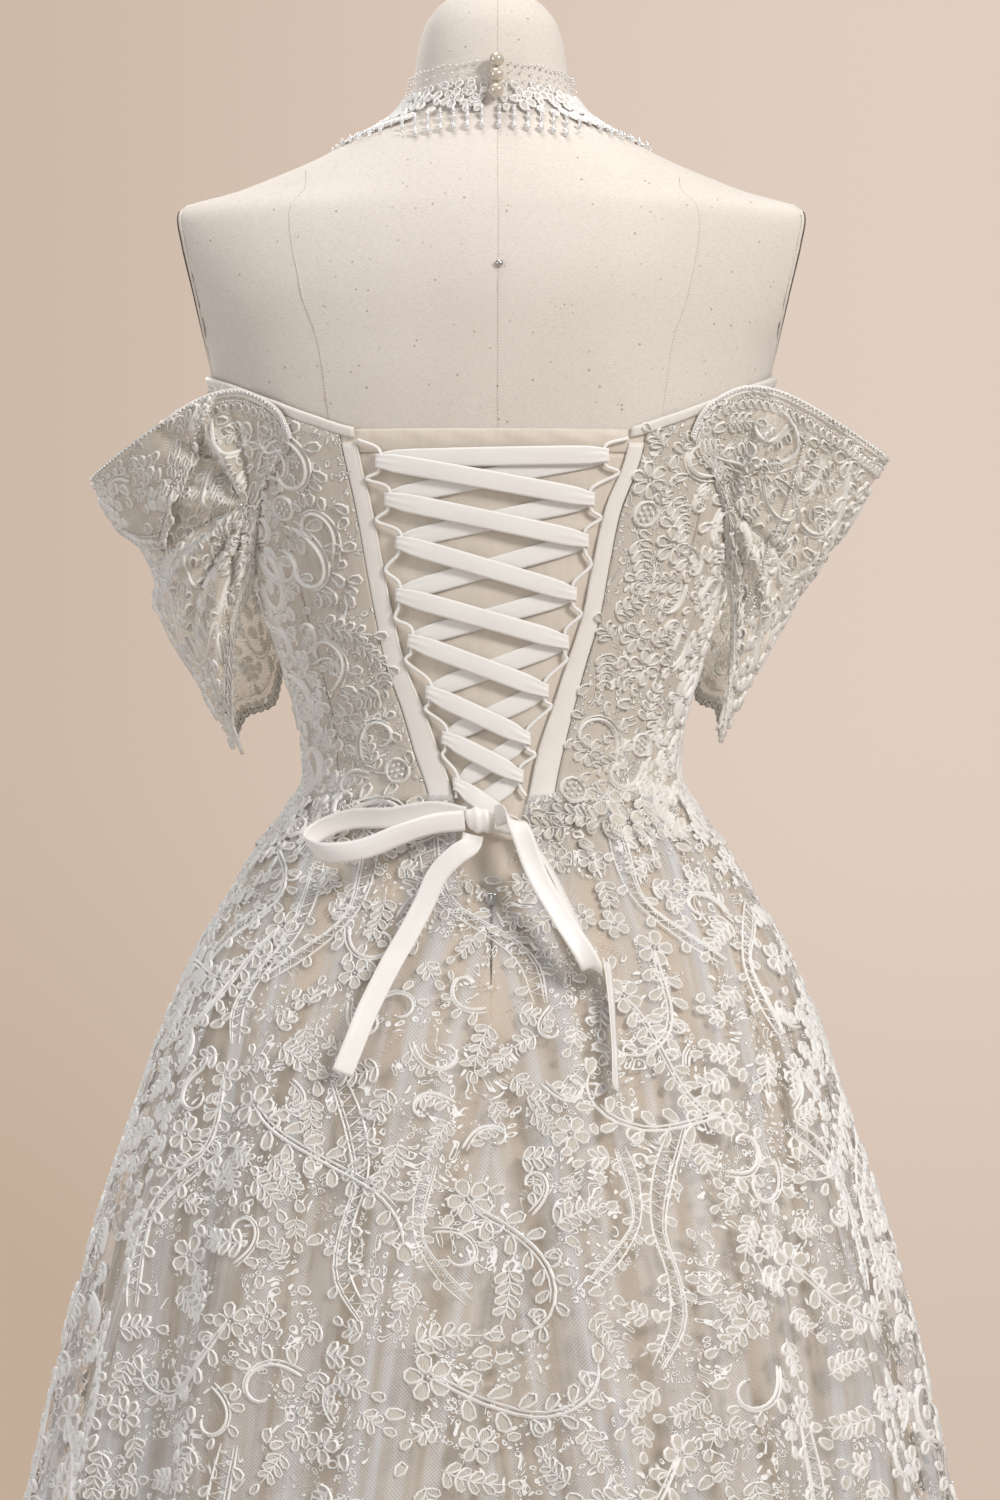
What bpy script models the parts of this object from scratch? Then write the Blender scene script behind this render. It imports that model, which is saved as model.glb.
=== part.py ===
"""Wedding dress on a limbless dress form, in metres, +Z up, front towards -Y.

The dress is a strapless corset-backed bodice and an A-line skirt, with off-shoulder lace
sleeves, a high lace collar, and ribbon lacing down the back. Every cloth piece is a thin
wall on one of two shells: the form's own surface, and the dress surface a few millimetres
outside it. A point on a shell is named by its angle (0 at the centre back, +90 at the
wearer's left, 180 at the front) or by its x, with its height, and is moved out along the
shell's normal by its lift. Tables are in millimetres and degrees.
"""

from collections import namedtuple
import math

import bmesh
import bpy
from mathutils import Vector
import numpy as np

MM = 0.001

# ---------------------------------------------------------------- driving dimensions (mm)
WAIST_SEAM = 1044.0
HEM_HEIGHT = 8.0
SEAM_GAP = 0.5
SQUARENESS = 2.25

DRESS_EASE = 3.8
LACE_WALL = 1.6
SATIN_WALL = 1.8
TULLE_WALL = 1.5
PANEL_WALL = 1.4
SLEEVE_WALL = 1.2
LINING_WALL = 1.2

BINDING_HEIGHT = 6.0
OPENING_TOP = 1266.0
SIDE_SEAM = 52.0
FRONT_SEAM = 112.0
BACK_COLUMNS = 4
SIDE_COLUMNS = 5
FRONT_COLUMNS = 12
WAIST_GAP = 1.1
MODESTY_LIFT = 1.6
MODESTY_TOP = 1268.0
MODESTY_ROLL = 14.0
MODESTY_BOTTOM = 984.0
MODESTY_TUCK = 20.0

LOOP_CORD_RADIUS = 1.1
LOOP_LIFT = 1.9
RIBBON_WIDTH = 11.4
RIBBON_PINCH = 3.4
RIBBON_PINCH_REACH = 7.0
RIBBON_WALL = 1.0
RIBBON_TURN = 1.95
BOW_WIDTH = 12.6

PEARL_RADIUS = 4.7
PEARL_HEIGHTS = (1494.6, 1484.7, 1473.8)
PEARL_X = -3.0
COLLAR_LIFT = 1.8
COLLAR_WALL = 1.5
FRINGE_WALL = 2.0

POLE_RADIUS = 15.0
BASE_RADIUS = 165.0
BASE_EDGE = 10.0
FORM_BOTTOM = 800.0

# ------------------------------------------------------------------------ section tables
# Each row is a level cross-section: half its width, how far it reaches to the front and
# to the back of the pole's axis, and half the length of the flat arm plate at its sides.
Section = namedtuple("Section", "height half_width front back plate")

FORM_SECTIONS = [
    Section(800.0, 167.0, 108.0, 110.0, 0.0),
    Section(860.0, 170.0, 112.0, 114.0, 0.0),
    Section(930.0, 157.0, 104.0, 105.0, 0.0),
    Section(985.0, 134.0, 94.0, 92.0, 0.0),
    Section(1030.0, 117.0, 87.0, 81.0, 0.0),
    Section(1060.0, 111.0, 84.0, 77.0, 0.0),
    Section(1080.0, 112.0, 85.0, 76.5, 0.0),
    Section(1120.0, 122.0, 94.0, 78.0, 0.0),
    Section(1180.0, 141.0, 113.0, 83.0, 0.0),
    Section(1230.0, 155.0, 127.0, 87.5, 0.0),
    Section(1270.0, 164.0, 121.0, 91.0, 0.0),
    Section(1300.0, 171.0, 107.0, 93.0, 0.0),
    Section(1350.0, 181.0, 88.0, 93.0, 38.0),
    Section(1385.0, 189.0, 75.0, 87.0, 42.0),
    Section(1400.0, 191.5, 67.0, 83.0, 40.0),
    Section(1406.5, 189.5, 64.0, 81.0, 36.0),
    Section(1421.0, 153.0, 57.0, 75.0, 0.0),
    Section(1437.0, 114.0, 51.0, 67.0, 0.0),
    Section(1447.5, 93.0, 48.0, 61.0, 0.0),
    Section(1456.0, 75.0, 46.5, 56.0, 0.0),
    Section(1468.0, 58.0, 45.0, 50.5, 0.0),
    Section(1480.0, 50.5, 43.5, 47.0, 0.0),
    Section(1490.0, 48.0, 42.5, 45.5, 0.0),
    Section(1505.0, 46.0, 41.0, 44.0, 0.0),
    Section(1521.0, 42.0, 38.0, 40.5, 0.0),
    Section(1533.0, 34.5, 31.5, 33.5, 0.0),
    Section(1541.0, 24.0, 22.0, 23.0, 0.0),
    Section(1545.0, 9.0, 8.5, 9.0, 0.0),
]

SKIRT_SECTIONS = [
    Section(HEM_HEIGHT, 402.0, 380.0, 415.0, 0.0),
    Section(200.0, 365.0, 345.0, 372.0, 0.0),
    Section(400.0, 324.0, 300.0, 318.0, 0.0),
    Section(610.0, 277.5, 246.0, 256.0, 0.0),
    Section(734.0, 252.5, 215.0, 212.0, 0.0),
    Section(793.0, 237.5, 196.0, 188.0, 0.0),
    Section(865.0, 215.5, 168.0, 155.0, 0.0),
    Section(902.0, 204.0, 153.0, 138.0, 0.0),
    Section(935.0, 190.0, 139.0, 121.0, 0.0),
    Section(960.0, 178.0, 128.0, 109.0, 0.0),
    Section(982.0, 164.0, 117.0, 99.5, 0.0),
    Section(1013.0, 145.0, 103.0, 89.0, 0.0),
    Section(1031.0, 130.0, 94.0, 85.0, 0.0),
]

# How far the lining hangs inside the skirt, by height.
Inset = namedtuple("Inset", "height depth")
LINING_TOP = 955.0
LINING_INSETS = [
    Inset(HEM_HEIGHT, 22.0),
    Inset(400.0, 17.0),
    Inset(700.0, 12.0),
    Inset(880.0, 6.0),
    Inset(920.0, 3.6),
    Inset(LINING_TOP, 2.0),
]

# Top edge of the bodice, the same on both sides of the centre back.
TopEdge = namedtuple("TopEdge", "angle height")
BODICE_TOP = [
    TopEdge(0.0, 1266.0),
    TopEdge(25.0, 1268.0),
    TopEdge(38.0, 1277.5),
    TopEdge(50.0, 1287.5),
    TopEdge(68.0, 1299.0),
    TopEdge(88.0, 1305.0),
    TopEdge(110.0, 1302.0),
    TopEdge(130.0, 1300.0),
    TopEdge(152.0, 1307.0),
    TopEdge(166.0, 1302.0),
    TopEdge(180.0, 1287.0),
]

# The lacing opening: distance of each edge from the centre back, and the band's width.
Opening = namedtuple("Opening", "height left right band")
OPENING = [
    Opening(990.6, 3.3, 2.7, 0.0),
    Opening(1003.0, 17.0, 9.9, 0.0),
    Opening(1018.0, 20.5, 15.0, 0.0),
    Opening(1044.0, 22.4, 21.8, 15.0),
    Opening(1071.0, 30.4, 27.4, 15.0),
    Opening(1099.0, 40.6, 36.4, 13.0),
    Opening(1127.0, 52.0, 45.5, 11.5),
    Opening(1156.0, 59.2, 55.0, 10.5),
    Opening(1186.0, 65.2, 61.0, 10.0),
    Opening(1218.0, 71.3, 68.0, 9.5),
    Opening(1251.0, 79.1, 80.9, 9.0),
    Opening(1272.0, 83.6, 85.4, 9.0),
]

# Rouleau loops: where each loop's bar hangs, and the height where the cord comes back to
# the band below it.
Loop = namedtuple("Loop", "bar_x bar_top bar_bottom back_height")
LOOP_START_HEIGHT = {"left": 1261.5, "right": 1262.5}
LOOPS = {
    "left": [
        Loop(67.1, 1255.5, 1243.0, 1238.0),
        Loop(61.6, 1232.6, 1220.0, 1213.1),
        Loop(55.0, 1206.5, 1194.0, 1183.7),
        Loop(55.0, 1175.4, 1162.4, 1154.2),
        Loop(47.8, 1148.4, 1134.2, 1128.4),
        Loop(37.0, 1116.4, 1103.6, 1098.9),
        Loop(27.4, 1089.2, 1075.8, 1071.2),
        Loop(20.7, 1060.2, 1048.0, 1045.5),
    ],
    "right": [
        Loop(68.3, 1257.8, 1246.4, 1241.6),
        Loop(59.8, 1232.0, 1219.6, 1214.5),
        Loop(56.2, 1207.1, 1194.5, 1186.1),
        Loop(49.0, 1175.2, 1162.4, 1156.6),
        Loop(44.2, 1146.8, 1132.8, 1128.4),
        Loop(32.2, 1116.4, 1104.6, 1100.6),
        Loop(21.4, 1087.0, 1076.0, 1071.6),
        Loop(17.1, 1064.0, 1053.0, 1046.5),
    ],
}

# Skirt folds: the ridge's angle, its whole width in degrees, its lift at the hem and the
# height where it starts.
Fold = namedtuple("Fold", "angle width lift start")
SKIRT_FOLDS = [
    Fold(11.0, 21.0, 24.0, 950.0),
    Fold(33.0, 22.0, 30.0, 930.0),
    Fold(56.0, 22.0, 26.0, 960.0),
    Fold(79.0, 23.0, 28.0, 900.0),
    Fold(102.0, 22.0, 24.0, 940.0),
    Fold(124.0, 23.0, 30.0, 900.0),
    Fold(147.0, 22.0, 24.0, 930.0),
    Fold(169.0, 22.0, 28.0, 900.0),
    Fold(-169.0, 21.0, 24.0, 930.0),
    Fold(-147.0, 22.0, 30.0, 940.0),
    Fold(-124.0, 22.0, 24.0, 900.0),
    Fold(-102.0, 23.0, 28.0, 930.0),
    Fold(-79.0, 22.0, 26.0, 900.0),
    Fold(-56.0, 23.0, 30.0, 950.0),
    Fold(-34.0, 21.0, 24.0, 920.0),
    Fold(-12.0, 22.0, 28.0, 960.0),
]
SKIRT_HEIGHTS = [
    HEM_HEIGHT, 200.0, 400.0, 610.0, 760.0, 865.0, 920.0, LINING_TOP, 982.0, 1003.0,
    1031.0, WAIST_SEAM - WAIST_GAP,
]

# Off-shoulder sleeves: four lines run from the back of the bodice round the arm to its
# front, all with one row a station. Lift is the distance out from the dress surface.
Drape = namedtuple("Drape", "angle height lift")
SLEEVE_RIM = [
    Drape(45.0, 1261.0, 2.0), Drape(47.0, 1278.0, 4.0), Drape(56.0, 1291.0, 11.0),
    Drape(66.0, 1288.0, 26.0), Drape(75.0, 1276.0, 48.0), Drape(84.0, 1264.0, 69.0),
    Drape(91.0, 1258.0, 82.0), Drape(100.0, 1261.0, 72.0), Drape(111.0, 1271.0, 51.0),
    Drape(124.0, 1283.0, 22.0), Drape(137.0, 1281.0, 2.0),
]
SLEEVE_FOLD = [
    Drape(53.0, 1245.0, 2.0), Drape(59.0, 1240.0, 3.5), Drape(65.0, 1236.0, 10.0),
    Drape(72.0, 1231.0, 23.0), Drape(79.0, 1223.0, 39.0), Drape(85.0, 1213.0, 53.0),
    Drape(92.0, 1207.0, 61.0), Drape(99.0, 1211.0, 56.0), Drape(109.0, 1222.0, 41.0),
    Drape(122.0, 1236.0, 18.0), Drape(136.0, 1245.0, 2.0),
]
SLEEVE_BELLY = [
    Drape(61.0, 1226.0, 2.2), Drape(65.0, 1214.0, 6.5), Drape(70.0, 1204.0, 16.0),
    Drape(75.0, 1194.0, 30.0), Drape(81.0, 1184.0, 46.0), Drape(87.0, 1175.0, 58.0),
    Drape(93.0, 1171.0, 65.0), Drape(100.0, 1174.0, 58.0), Drape(109.0, 1183.0, 42.0),
    Drape(121.0, 1198.0, 20.0), Drape(134.0, 1212.0, 2.2),
]
SLEEVE_HEM = [
    Drape(70.0, 1199.0, 3.5), Drape(74.0, 1184.0, 10.0), Drape(78.0, 1168.0, 22.0),
    Drape(82.0, 1146.0, 34.0), Drape(86.0, 1118.0, 44.0), Drape(90.0, 1092.0, 50.0),
    Drape(94.0, 1088.0, 52.0), Drape(101.0, 1110.0, 42.0), Drape(110.0, 1114.0, 26.0),
    Drape(120.0, 1150.0, 18.0), Drape(131.0, 1180.0, 3.0),
]
# How much of each line's lift a side keeps, and how much higher its outer tip stands.
SleeveSide = namedtuple("SleeveSide", "sign rim fold belly hem tip_rise")
SLEEVE_SIDES = {
    "left": SleeveSide(1.0, 1.0, 1.0, 0.97, 0.86, 0.0),
    "right": SleeveSide(-1.0, 0.95, 0.97, 0.66, 0.48, 12.0),
}

# Collar edges by angle, the same on both sides: top, lace edge and fringe end.
CollarEdge = namedtuple("CollarEdge", "angle top lace fringe")
COLLAR_EDGES = [
    CollarEdge(0.0, 1495.5, 1461.5, 1450.0),
    CollarEdge(35.0, 1493.0, 1458.0, 1448.0),
    CollarEdge(70.0, 1490.0, 1450.5, 1444.0),
    CollarEdge(90.0, 1489.0, 1448.0, 1443.0),
    CollarEdge(120.0, 1487.0, 1449.0, 1442.0),
    CollarEdge(180.0, 1484.0, 1446.0, 1435.0),
]

# Routes of the bow's ribbons: distance to the wearer's left of the centre back, height,
# lift from the dress, and the direction of the ribbon's width (turned from upright in
# the view from behind, then leant out of that view).
Route = namedtuple("Route", "x height lift turn lean")
BOW_ROUTES = {
    "bow_loop_left": [
        Route(15.5, 1033.0, 8.0, -10.0, 0.0),
        Route(34.0, 1036.0, 9.5, -8.0, 5.0),
        Route(58.0, 1032.0, 9.5, -4.0, 10.0),
        Route(80.0, 1030.0, 10.5, 8.0, 15.0),
        Route(96.0, 1021.0, 14.5, 25.0, 20.0),
        Route(101.0, 1011.0, 21.0, 30.0, 20.0),
        Route(92.0, 1004.0, 26.0, 18.0, 10.0),
        Route(72.0, 1006.0, 27.5, -8.0, 0.0),
        Route(51.0, 1017.0, 25.0, -26.0, 0.0),
        Route(33.0, 1026.5, 18.0, -22.0, 0.0),
        Route(15.5, 1030.5, 11.8, -14.0, 0.0),
    ],
    "bow_tail_left": [
        Route(10.5, 1022.0, 9.0, 90.0, 0.0),
        Route(12.5, 1015.0, 10.5, 84.0, 0.0),
        Route(20.5, 1008.5, 11.5, 70.0, 0.0),
        Route(31.0, 997.0, 11.0, 66.0, 4.0),
        Route(39.5, 979.0, 9.0, 66.0, 4.0),
        Route(49.0, 961.0, 8.0, 62.0, 0.0),
        Route(58.0, 945.0, 8.0, 62.0, -4.0),
        Route(71.0, 918.0, 8.5, 68.0, 0.0),
        Route(78.5, 899.0, 9.0, 72.0, 4.0),
        Route(85.6, 880.6, 9.5, 74.0, 4.0),
    ],
    "bow_loop_right": [
        Route(-2.4, 1033.0, 11.8, 0.0, 0.0),
        Route(-9.5, 1032.5, 18.5, 40.0, 20.0),
        Route(-16.5, 1021.0, 24.5, 80.0, 0.0),
        Route(-25.0, 994.0, 25.5, 72.0, 0.0),
        Route(-38.0, 968.0, 25.0, 66.0, 0.0),
        Route(-51.5, 946.0, 22.5, 64.0, 0.0),
        Route(-57.5, 937.5, 17.5, 62.0, 20.0),
        Route(-59.5, 941.5, 11.5, 60.0, 40.0),
        Route(-55.0, 955.0, 8.5, 60.0, 55.0),
        Route(-44.0, 982.0, 7.7, 60.0, 60.0),
        Route(-32.0, 1006.0, 7.7, 50.0, 55.0),
        Route(-18.0, 1025.0, 7.9, 30.0, 30.0),
        Route(-2.2, 1031.0, 7.4, 0.0, 0.0),
    ],
    "bow_tail_right": [
        Route(-67.2, 946.0, 7.4, 66.0, 66.0),
        Route(-68.4, 936.0, 7.4, 70.0, 70.0),
        Route(-69.6, 922.0, 7.4, 78.0, 74.0),
        Route(-70.4, 908.0, 7.4, 84.0, 76.0),
        Route(-71.0, 894.0, 7.4, 88.0, 76.0),
        Route(-71.3, 871.8, 7.4, 90.0, 74.0),
    ],
}
KNOT = Route(6.9, 1031.0, 9.3, 0.0, 0.0)
KNOT_HALF_SIZE = (8.0, 4.4, 7.2)
KNOT_ROUNDING = 2.6


# ------------------------------------------------------------------------------ numbers
def column(rows, name):
    """One named column of a table as an array."""
    return np.array([getattr(row, name) for row in rows], float)


def through(xs, ys, at):
    """A smooth curve through points that never overshoots them."""
    xs, ys, at = np.asarray(xs, float), np.asarray(ys, float), np.asarray(at, float)
    step = np.diff(xs)
    rise = np.diff(ys) / step
    slope = np.zeros_like(ys)
    same_way = rise[:-1] * rise[1:] > 0
    near, far = 2 * step[1:] + step[:-1], step[1:] + 2 * step[:-1]
    with np.errstate(divide="ignore", invalid="ignore"):
        mean = (near + far) / (near / rise[:-1] + far / rise[1:])
    slope[1:-1] = np.where(same_way, mean, 0.0)
    slope[0], slope[-1] = rise[0], rise[-1]
    i = np.clip(np.searchsorted(xs, at, side="right") - 1, 0, len(xs) - 2)
    t = np.clip((at - xs[i]) / step[i], 0.0, 1.0)
    value = ys[i] * (1 + 2 * t) * (1 - t) ** 2 + slope[i] * step[i] * t * (1 - t) ** 2
    value += ys[i + 1] * t * t * (3 - 2 * t) + slope[i + 1] * step[i] * t * t * (t - 1)
    return value


def rounded(points, count):
    """count points evenly spaced by station along a smooth curve through points."""
    points = np.asarray(points, float)
    ends = [2 * points[0] - points[1]], [2 * points[-1] - points[-2]]
    p = np.concatenate([ends[0], points, ends[1]])
    s = np.linspace(0, len(points) - 1, count)
    i = np.minimum(s.astype(int), len(points) - 2)
    t = (s - i)[:, None]
    a, b, c, d = p[i], p[i + 1], p[i + 2], p[i + 3]
    return 0.5 * (
        2 * b + (c - a) * t + (2 * a - 5 * b + 4 * c - d) * t**2 + (3 * b - a - 3 * c + d) * t**3
    )


# ------------------------------------------------------------------------------- shells
class Shell:
    """A body surface made of level cross-sections."""

    def __init__(self, sections):
        self.heights = column(sections, "height")
        self.columns = {
            name: column(sections, name) for name in ("half_width", "front", "back", "plate")
        }

    def size(self, name, height):
        return through(self.heights, self.columns[name], height)

    def at_angle(self, angle, height):
        """The surface point at an angle from the centre back."""
        sine, cosine = math.sin(math.radians(angle)), math.cos(math.radians(angle))
        half = float(self.size("half_width", height))
        reach = float(self.size("back" if cosine > 0 else "front", height))
        plate = float(self.size("plate", height))
        full = half / (1 - (plate / reach) ** SQUARENESS) ** (1 / SQUARENESS)
        x = min(full * abs(sine) ** (2 / SQUARENESS), half)
        y = reach * abs(cosine) ** (2 / SQUARENESS)
        return np.array([math.copysign(x, sine), math.copysign(y, cosine), height])

    def angle_of(self, x, height):
        """The angle, on the back, where the surface has this x."""
        share = min(abs(x) / float(self.size("half_width", height)), 1.0)
        return math.copysign(math.degrees(math.asin(share ** (SQUARENESS / 2))), x)

    def normal(self, angle, height):
        """The outward direction at a point, from its neighbours on the surface."""
        turn, rise = 1.0, 1.5
        across = self.at_angle(angle + turn, height) - self.at_angle(angle - turn, height)
        low, high = max(height - rise, self.heights[0]), min(height + rise, self.heights[-1])
        up = self.at_angle(angle, high) - self.at_angle(angle, low)
        out = np.cross(up, across)
        return out / np.linalg.norm(out)

    def lifted(self, angle, height, lift):
        """A surface point moved out along the normal."""
        return self.at_angle(angle, height) + lift * self.normal(angle, height)

    def behind(self, x, height, lift):
        """A point on the back, named by its x, moved out along the normal."""
        return self.lifted(self.angle_of(x, height), height, lift)


def eased(section, ease):
    """A section grown by ease all round."""
    return section._replace(
        half_width=section.half_width + ease,
        front=section.front + ease,
        back=section.back + ease,
    )


FORM = Shell(FORM_SECTIONS)
DRESS = Shell(
    SKIRT_SECTIONS
    + [eased(row, DRESS_EASE) for row in FORM_SECTIONS if 1050.0 < row.height < 1390.0]
)


# ------------------------------------------------------------------- scene and materials
def clear_scene():
    """Removes whatever the file opened with."""
    for item in list(bpy.data.objects):
        bpy.data.objects.remove(item, do_unlink=True)


def new_collection(name):
    """A collection of its own for the object's pieces."""
    collection = bpy.data.collections.new(name)
    bpy.context.scene.collection.children.link(collection)
    return collection


def material(name, colour, roughness, metallic=0.0):
    """A plain Principled material."""
    made = bpy.data.materials.new(name)
    made.use_nodes = True
    shader = made.node_tree.nodes["Principled BSDF"]
    shader.inputs["Base Color"].default_value = (*colour, 1.0)
    shader.inputs["Roughness"].default_value = roughness
    shader.inputs["Metallic"].default_value = metallic
    return made


LACE = (0.86, 0.84, 0.80)
SATIN = (0.88, 0.85, 0.80)
CREAM = (0.80, 0.72, 0.62)
LINEN = (0.78, 0.73, 0.66)
PEARL = (0.90, 0.84, 0.75)
METAL = (0.62, 0.60, 0.58)

PARTS = new_collection("wedding_dress_on_form")


def add_object(name, mesh, colour, roughness, metallic=0.0):
    """Links a mesh as a named, smooth-shaded piece with a material of its own."""
    item = bpy.data.objects.new(name, mesh)
    PARTS.objects.link(item)
    mesh.materials.clear()
    mesh.materials.append(material(name + "_finish", colour, roughness, metallic))
    mesh.shade_smooth()
    return item


def grid_faces(rows, columns, closed=False):
    """Quads of a grid of rows by columns, wound to face out when columns run leftward."""
    around = columns if closed else columns - 1
    return [
        (r * columns + c, r * columns + (c + 1) % columns,
         (r + 1) * columns + (c + 1) % columns, (r + 1) * columns + c)
        for r in range(rows - 1)
        for c in range(around)
    ]


def wall(name, grid, thickness, colour, roughness, closed=False):
    """A cloth wall: an open surface through a grid of points, given its thickness."""
    rows, columns = len(grid), len(grid[0])
    points = [tuple(np.asarray(p) * MM) for row in grid for p in row]
    mesh = bpy.data.meshes.new(name)
    mesh.from_pydata(points, [], grid_faces(rows, columns, closed))
    item = add_object(name, mesh, colour, roughness)
    solidify = item.modifiers.new("thickness", "SOLIDIFY")
    solidify.thickness = thickness * MM
    solidify.offset = 0.0
    solidify.use_even_offset = False
    return item


def panel(name, shell, rows, place, columns, thickness, colour, lift=None):
    """A wall on a shell. place(row, across) gives a point's angle and height."""
    lift = lift or (lambda angle, height: 0.0)
    grid = []
    for row in rows:
        places = [place(row, c / columns) for c in range(columns + 1)]
        grid.append([shell.lifted(a, height, lift(a, height)) for a, height in places])
    return wall(name, grid, thickness, colour, 0.7)


# ----------------------------------------------------------------------------- the form
def make_form():
    """Torso with neck as one closed loft, its pin, the pole and the base plate."""
    around = 48
    heights = sorted(
        {float(h) for h in np.arange(FORM_BOTTOM, 1380.0, 27.0)}
        | {row.height for row in FORM_SECTIONS if row.height >= 1385.0}
    )
    mesh = bpy.data.meshes.new("form_torso")
    rings = [
        [FORM.at_angle(360.0 * k / around, height) * MM for k in range(around)]
        for height in heights
    ]
    points = [tuple(p) for ring in rings for p in ring]
    faces = grid_faces(len(rings), around, closed=True)
    faces = [tuple(reversed(face)) for face in faces]
    top = (len(rings) - 1) * around
    faces.append(tuple(range(around)))
    faces.append(tuple(top + k for k in reversed(range(around))))
    mesh.from_pydata(points, [], faces)
    add_object("form_torso", mesh, LINEN, 0.9)
    pole_ends = (FORM_BOTTOM - 0.3, BASE_EDGE + 6.3)
    turned("form_pole", [(POLE_RADIUS, end) for end in pole_ends], METAL, 24)
    turned(
        "form_base",
        [(60.0, BASE_EDGE + 6.0), (BASE_RADIUS - 12.0, BASE_EDGE), (BASE_RADIUS, BASE_EDGE - 4.0),
         (BASE_RADIUS, 0.0)],
        METAL, 48,
    )
    pin_height, pin_x = 1367.0, -4.5
    add_round("form_pin", FORM.behind(pin_x, pin_height, 1.8), 2.4, (1.0, 0.55, 1.0), METAL, 1.0)


def turned(name, profile, colour, steps):
    """A solid of revolution about the pole's axis from (radius, height) points."""
    points = [(0.0, profile[0][1])] + list(profile) + [(0.0, profile[-1][1])]
    mesh = bpy.data.meshes.new(name)
    mesh.from_pydata(
        [(r * MM, 0.0, z * MM) for r, z in points], [(i, i + 1) for i in range(len(points) - 1)], []
    )
    item = add_object(name, mesh, colour, 0.35, 1.0)
    screw = item.modifiers.new("turn", "SCREW")
    screw.steps = steps
    screw.render_steps = steps
    screw.use_merge_vertices = True
    screw.merge_threshold = 0.0001
    return item


def add_round(name, centre, radius, stretch, colour, metallic=0.0):
    """A ball, stretched along the axes."""
    mesh = bpy.data.meshes.new(name)
    shape = bmesh.new()
    bmesh.ops.create_uvsphere(shape, u_segments=12, v_segments=8, radius=radius * MM)
    bmesh.ops.scale(shape, vec=Vector(stretch), verts=shape.verts)
    shape.to_mesh(mesh)
    shape.free()
    item = add_object(name, mesh, colour, 0.3, metallic)
    item.location = Vector(tuple(centre)) * MM
    return item


# --------------------------------------------------------------------------- the bodice
def top_edge(angle):
    """Height of the bodice's top edge at an angle."""
    turned_in = abs((angle + 180.0) % 360.0 - 180.0)
    return float(through(column(BODICE_TOP, "angle"), column(BODICE_TOP, "height"), turned_in))


def opening_edge(side, height):
    """Distance of an opening edge from the centre back."""
    return float(through(column(OPENING, "height"), column(OPENING, side), height))


def band_width(height):
    """Width of the satin band along the opening."""
    return float(through(column(OPENING, "height"), column(OPENING, "band"), height))


def rising(low, top, share):
    return low + (top - low) * share


def make_bodice():
    """Five lace panels, the two satin bands at the opening and the top binding."""
    half_gap = 0.15
    rows = np.linspace(0.0, 1.0, 9)

    def up_to_binding(angle, share):
        return rising(WAIST_SEAM, top_edge(angle) - BINDING_HEIGHT - SEAM_GAP, share)

    for side, sign in (("left", 1.0), ("right", -1.0)):

        def back_edges(share, across, side=side, sign=sign):
            height = rising(WAIST_SEAM, OPENING_TOP, share)
            inner = opening_edge(side, height) + band_width(height) + SEAM_GAP
            start = DRESS.angle_of(inner, height)
            angle = start + (SIDE_SEAM - half_gap - start) * across
            return sign * angle, up_to_binding(angle, share)

        def side_edges(share, across, sign=sign):
            angle = SIDE_SEAM + half_gap + (FRONT_SEAM - SIDE_SEAM - 2 * half_gap) * across
            return sign * angle, up_to_binding(angle, share)

        def band_edges(share, across, side=side, sign=sign):
            height = rising(WAIST_SEAM, OPENING_TOP - BINDING_HEIGHT, share)
            inner = opening_edge(side, height)
            x = inner + band_width(height) * across
            return sign * DRESS.angle_of(x, height), height

        panel("bodice_back_" + side, DRESS, rows, back_edges, BACK_COLUMNS, LACE_WALL, LACE)
        panel("bodice_side_" + side, DRESS, rows, side_edges, SIDE_COLUMNS, LACE_WALL, LACE)
        panel("back_band_" + side, DRESS, np.linspace(0, 1, 12), band_edges, 1, SATIN_WALL, SATIN)

    def front_edges(share, across):
        angle = FRONT_SEAM + half_gap + (360.0 - 2 * FRONT_SEAM - 2 * half_gap) * across
        return angle, up_to_binding(angle, share)

    def stations(side):
        """The binding's angles on one side: those of the panels' columns below it."""
        edge = opening_edge(side, OPENING_TOP)
        opening = DRESS.angle_of(edge, OPENING_TOP)
        panel_start = DRESS.angle_of(edge + band_width(OPENING_TOP) + SEAM_GAP, OPENING_TOP)
        back = np.linspace(panel_start, SIDE_SEAM, BACK_COLUMNS + 1)
        under_arm = np.linspace(SIDE_SEAM, FRONT_SEAM, SIDE_COLUMNS + 1)
        return [opening, *back, *under_arm[1:]]

    across_front = np.linspace(FRONT_SEAM, 360.0 - FRONT_SEAM, FRONT_COLUMNS + 1)[1:-1]
    angles = [*stations("left"), *across_front, *(360.0 - a for a in reversed(stations("right")))]
    binding = [
        [DRESS.lifted(angle, top_edge(angle) - below, 0.0) for angle in angles]
        for below in (BINDING_HEIGHT, 0.0)
    ]
    panel("bodice_front", DRESS, rows, front_edges, FRONT_COLUMNS, LACE_WALL, LACE)
    wall("top_binding", binding, SATIN_WALL, SATIN, 0.5)


def make_modesty_panel():
    """The satin panel behind the lacing, with the roll along its top."""

    def half_width(height):
        widest = max(opening_edge("left", height), opening_edge("right", height))
        return widest + MODESTY_TUCK

    def edges_between(low, high):
        def edges(share, across):
            height = rising(low, high, share)
            x = half_width(height) * (2.0 * across - 1.0)
            return FORM.angle_of(x, height), height

        return edges

    def lift(_angle, _height):
        return MODESTY_LIFT

    roll_foot = MODESTY_TOP - MODESTY_ROLL
    panel(
        "modesty_panel", FORM, np.linspace(0, 1, 10),
        edges_between(MODESTY_BOTTOM, roll_foot - SEAM_GAP), 8, PANEL_WALL, CREAM, lift,
    )
    panel(
        "modesty_top_band", FORM, (0.0, 1.0),
        edges_between(roll_foot, MODESTY_TOP), 10, SATIN_WALL, CREAM, lift,
    )


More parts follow.
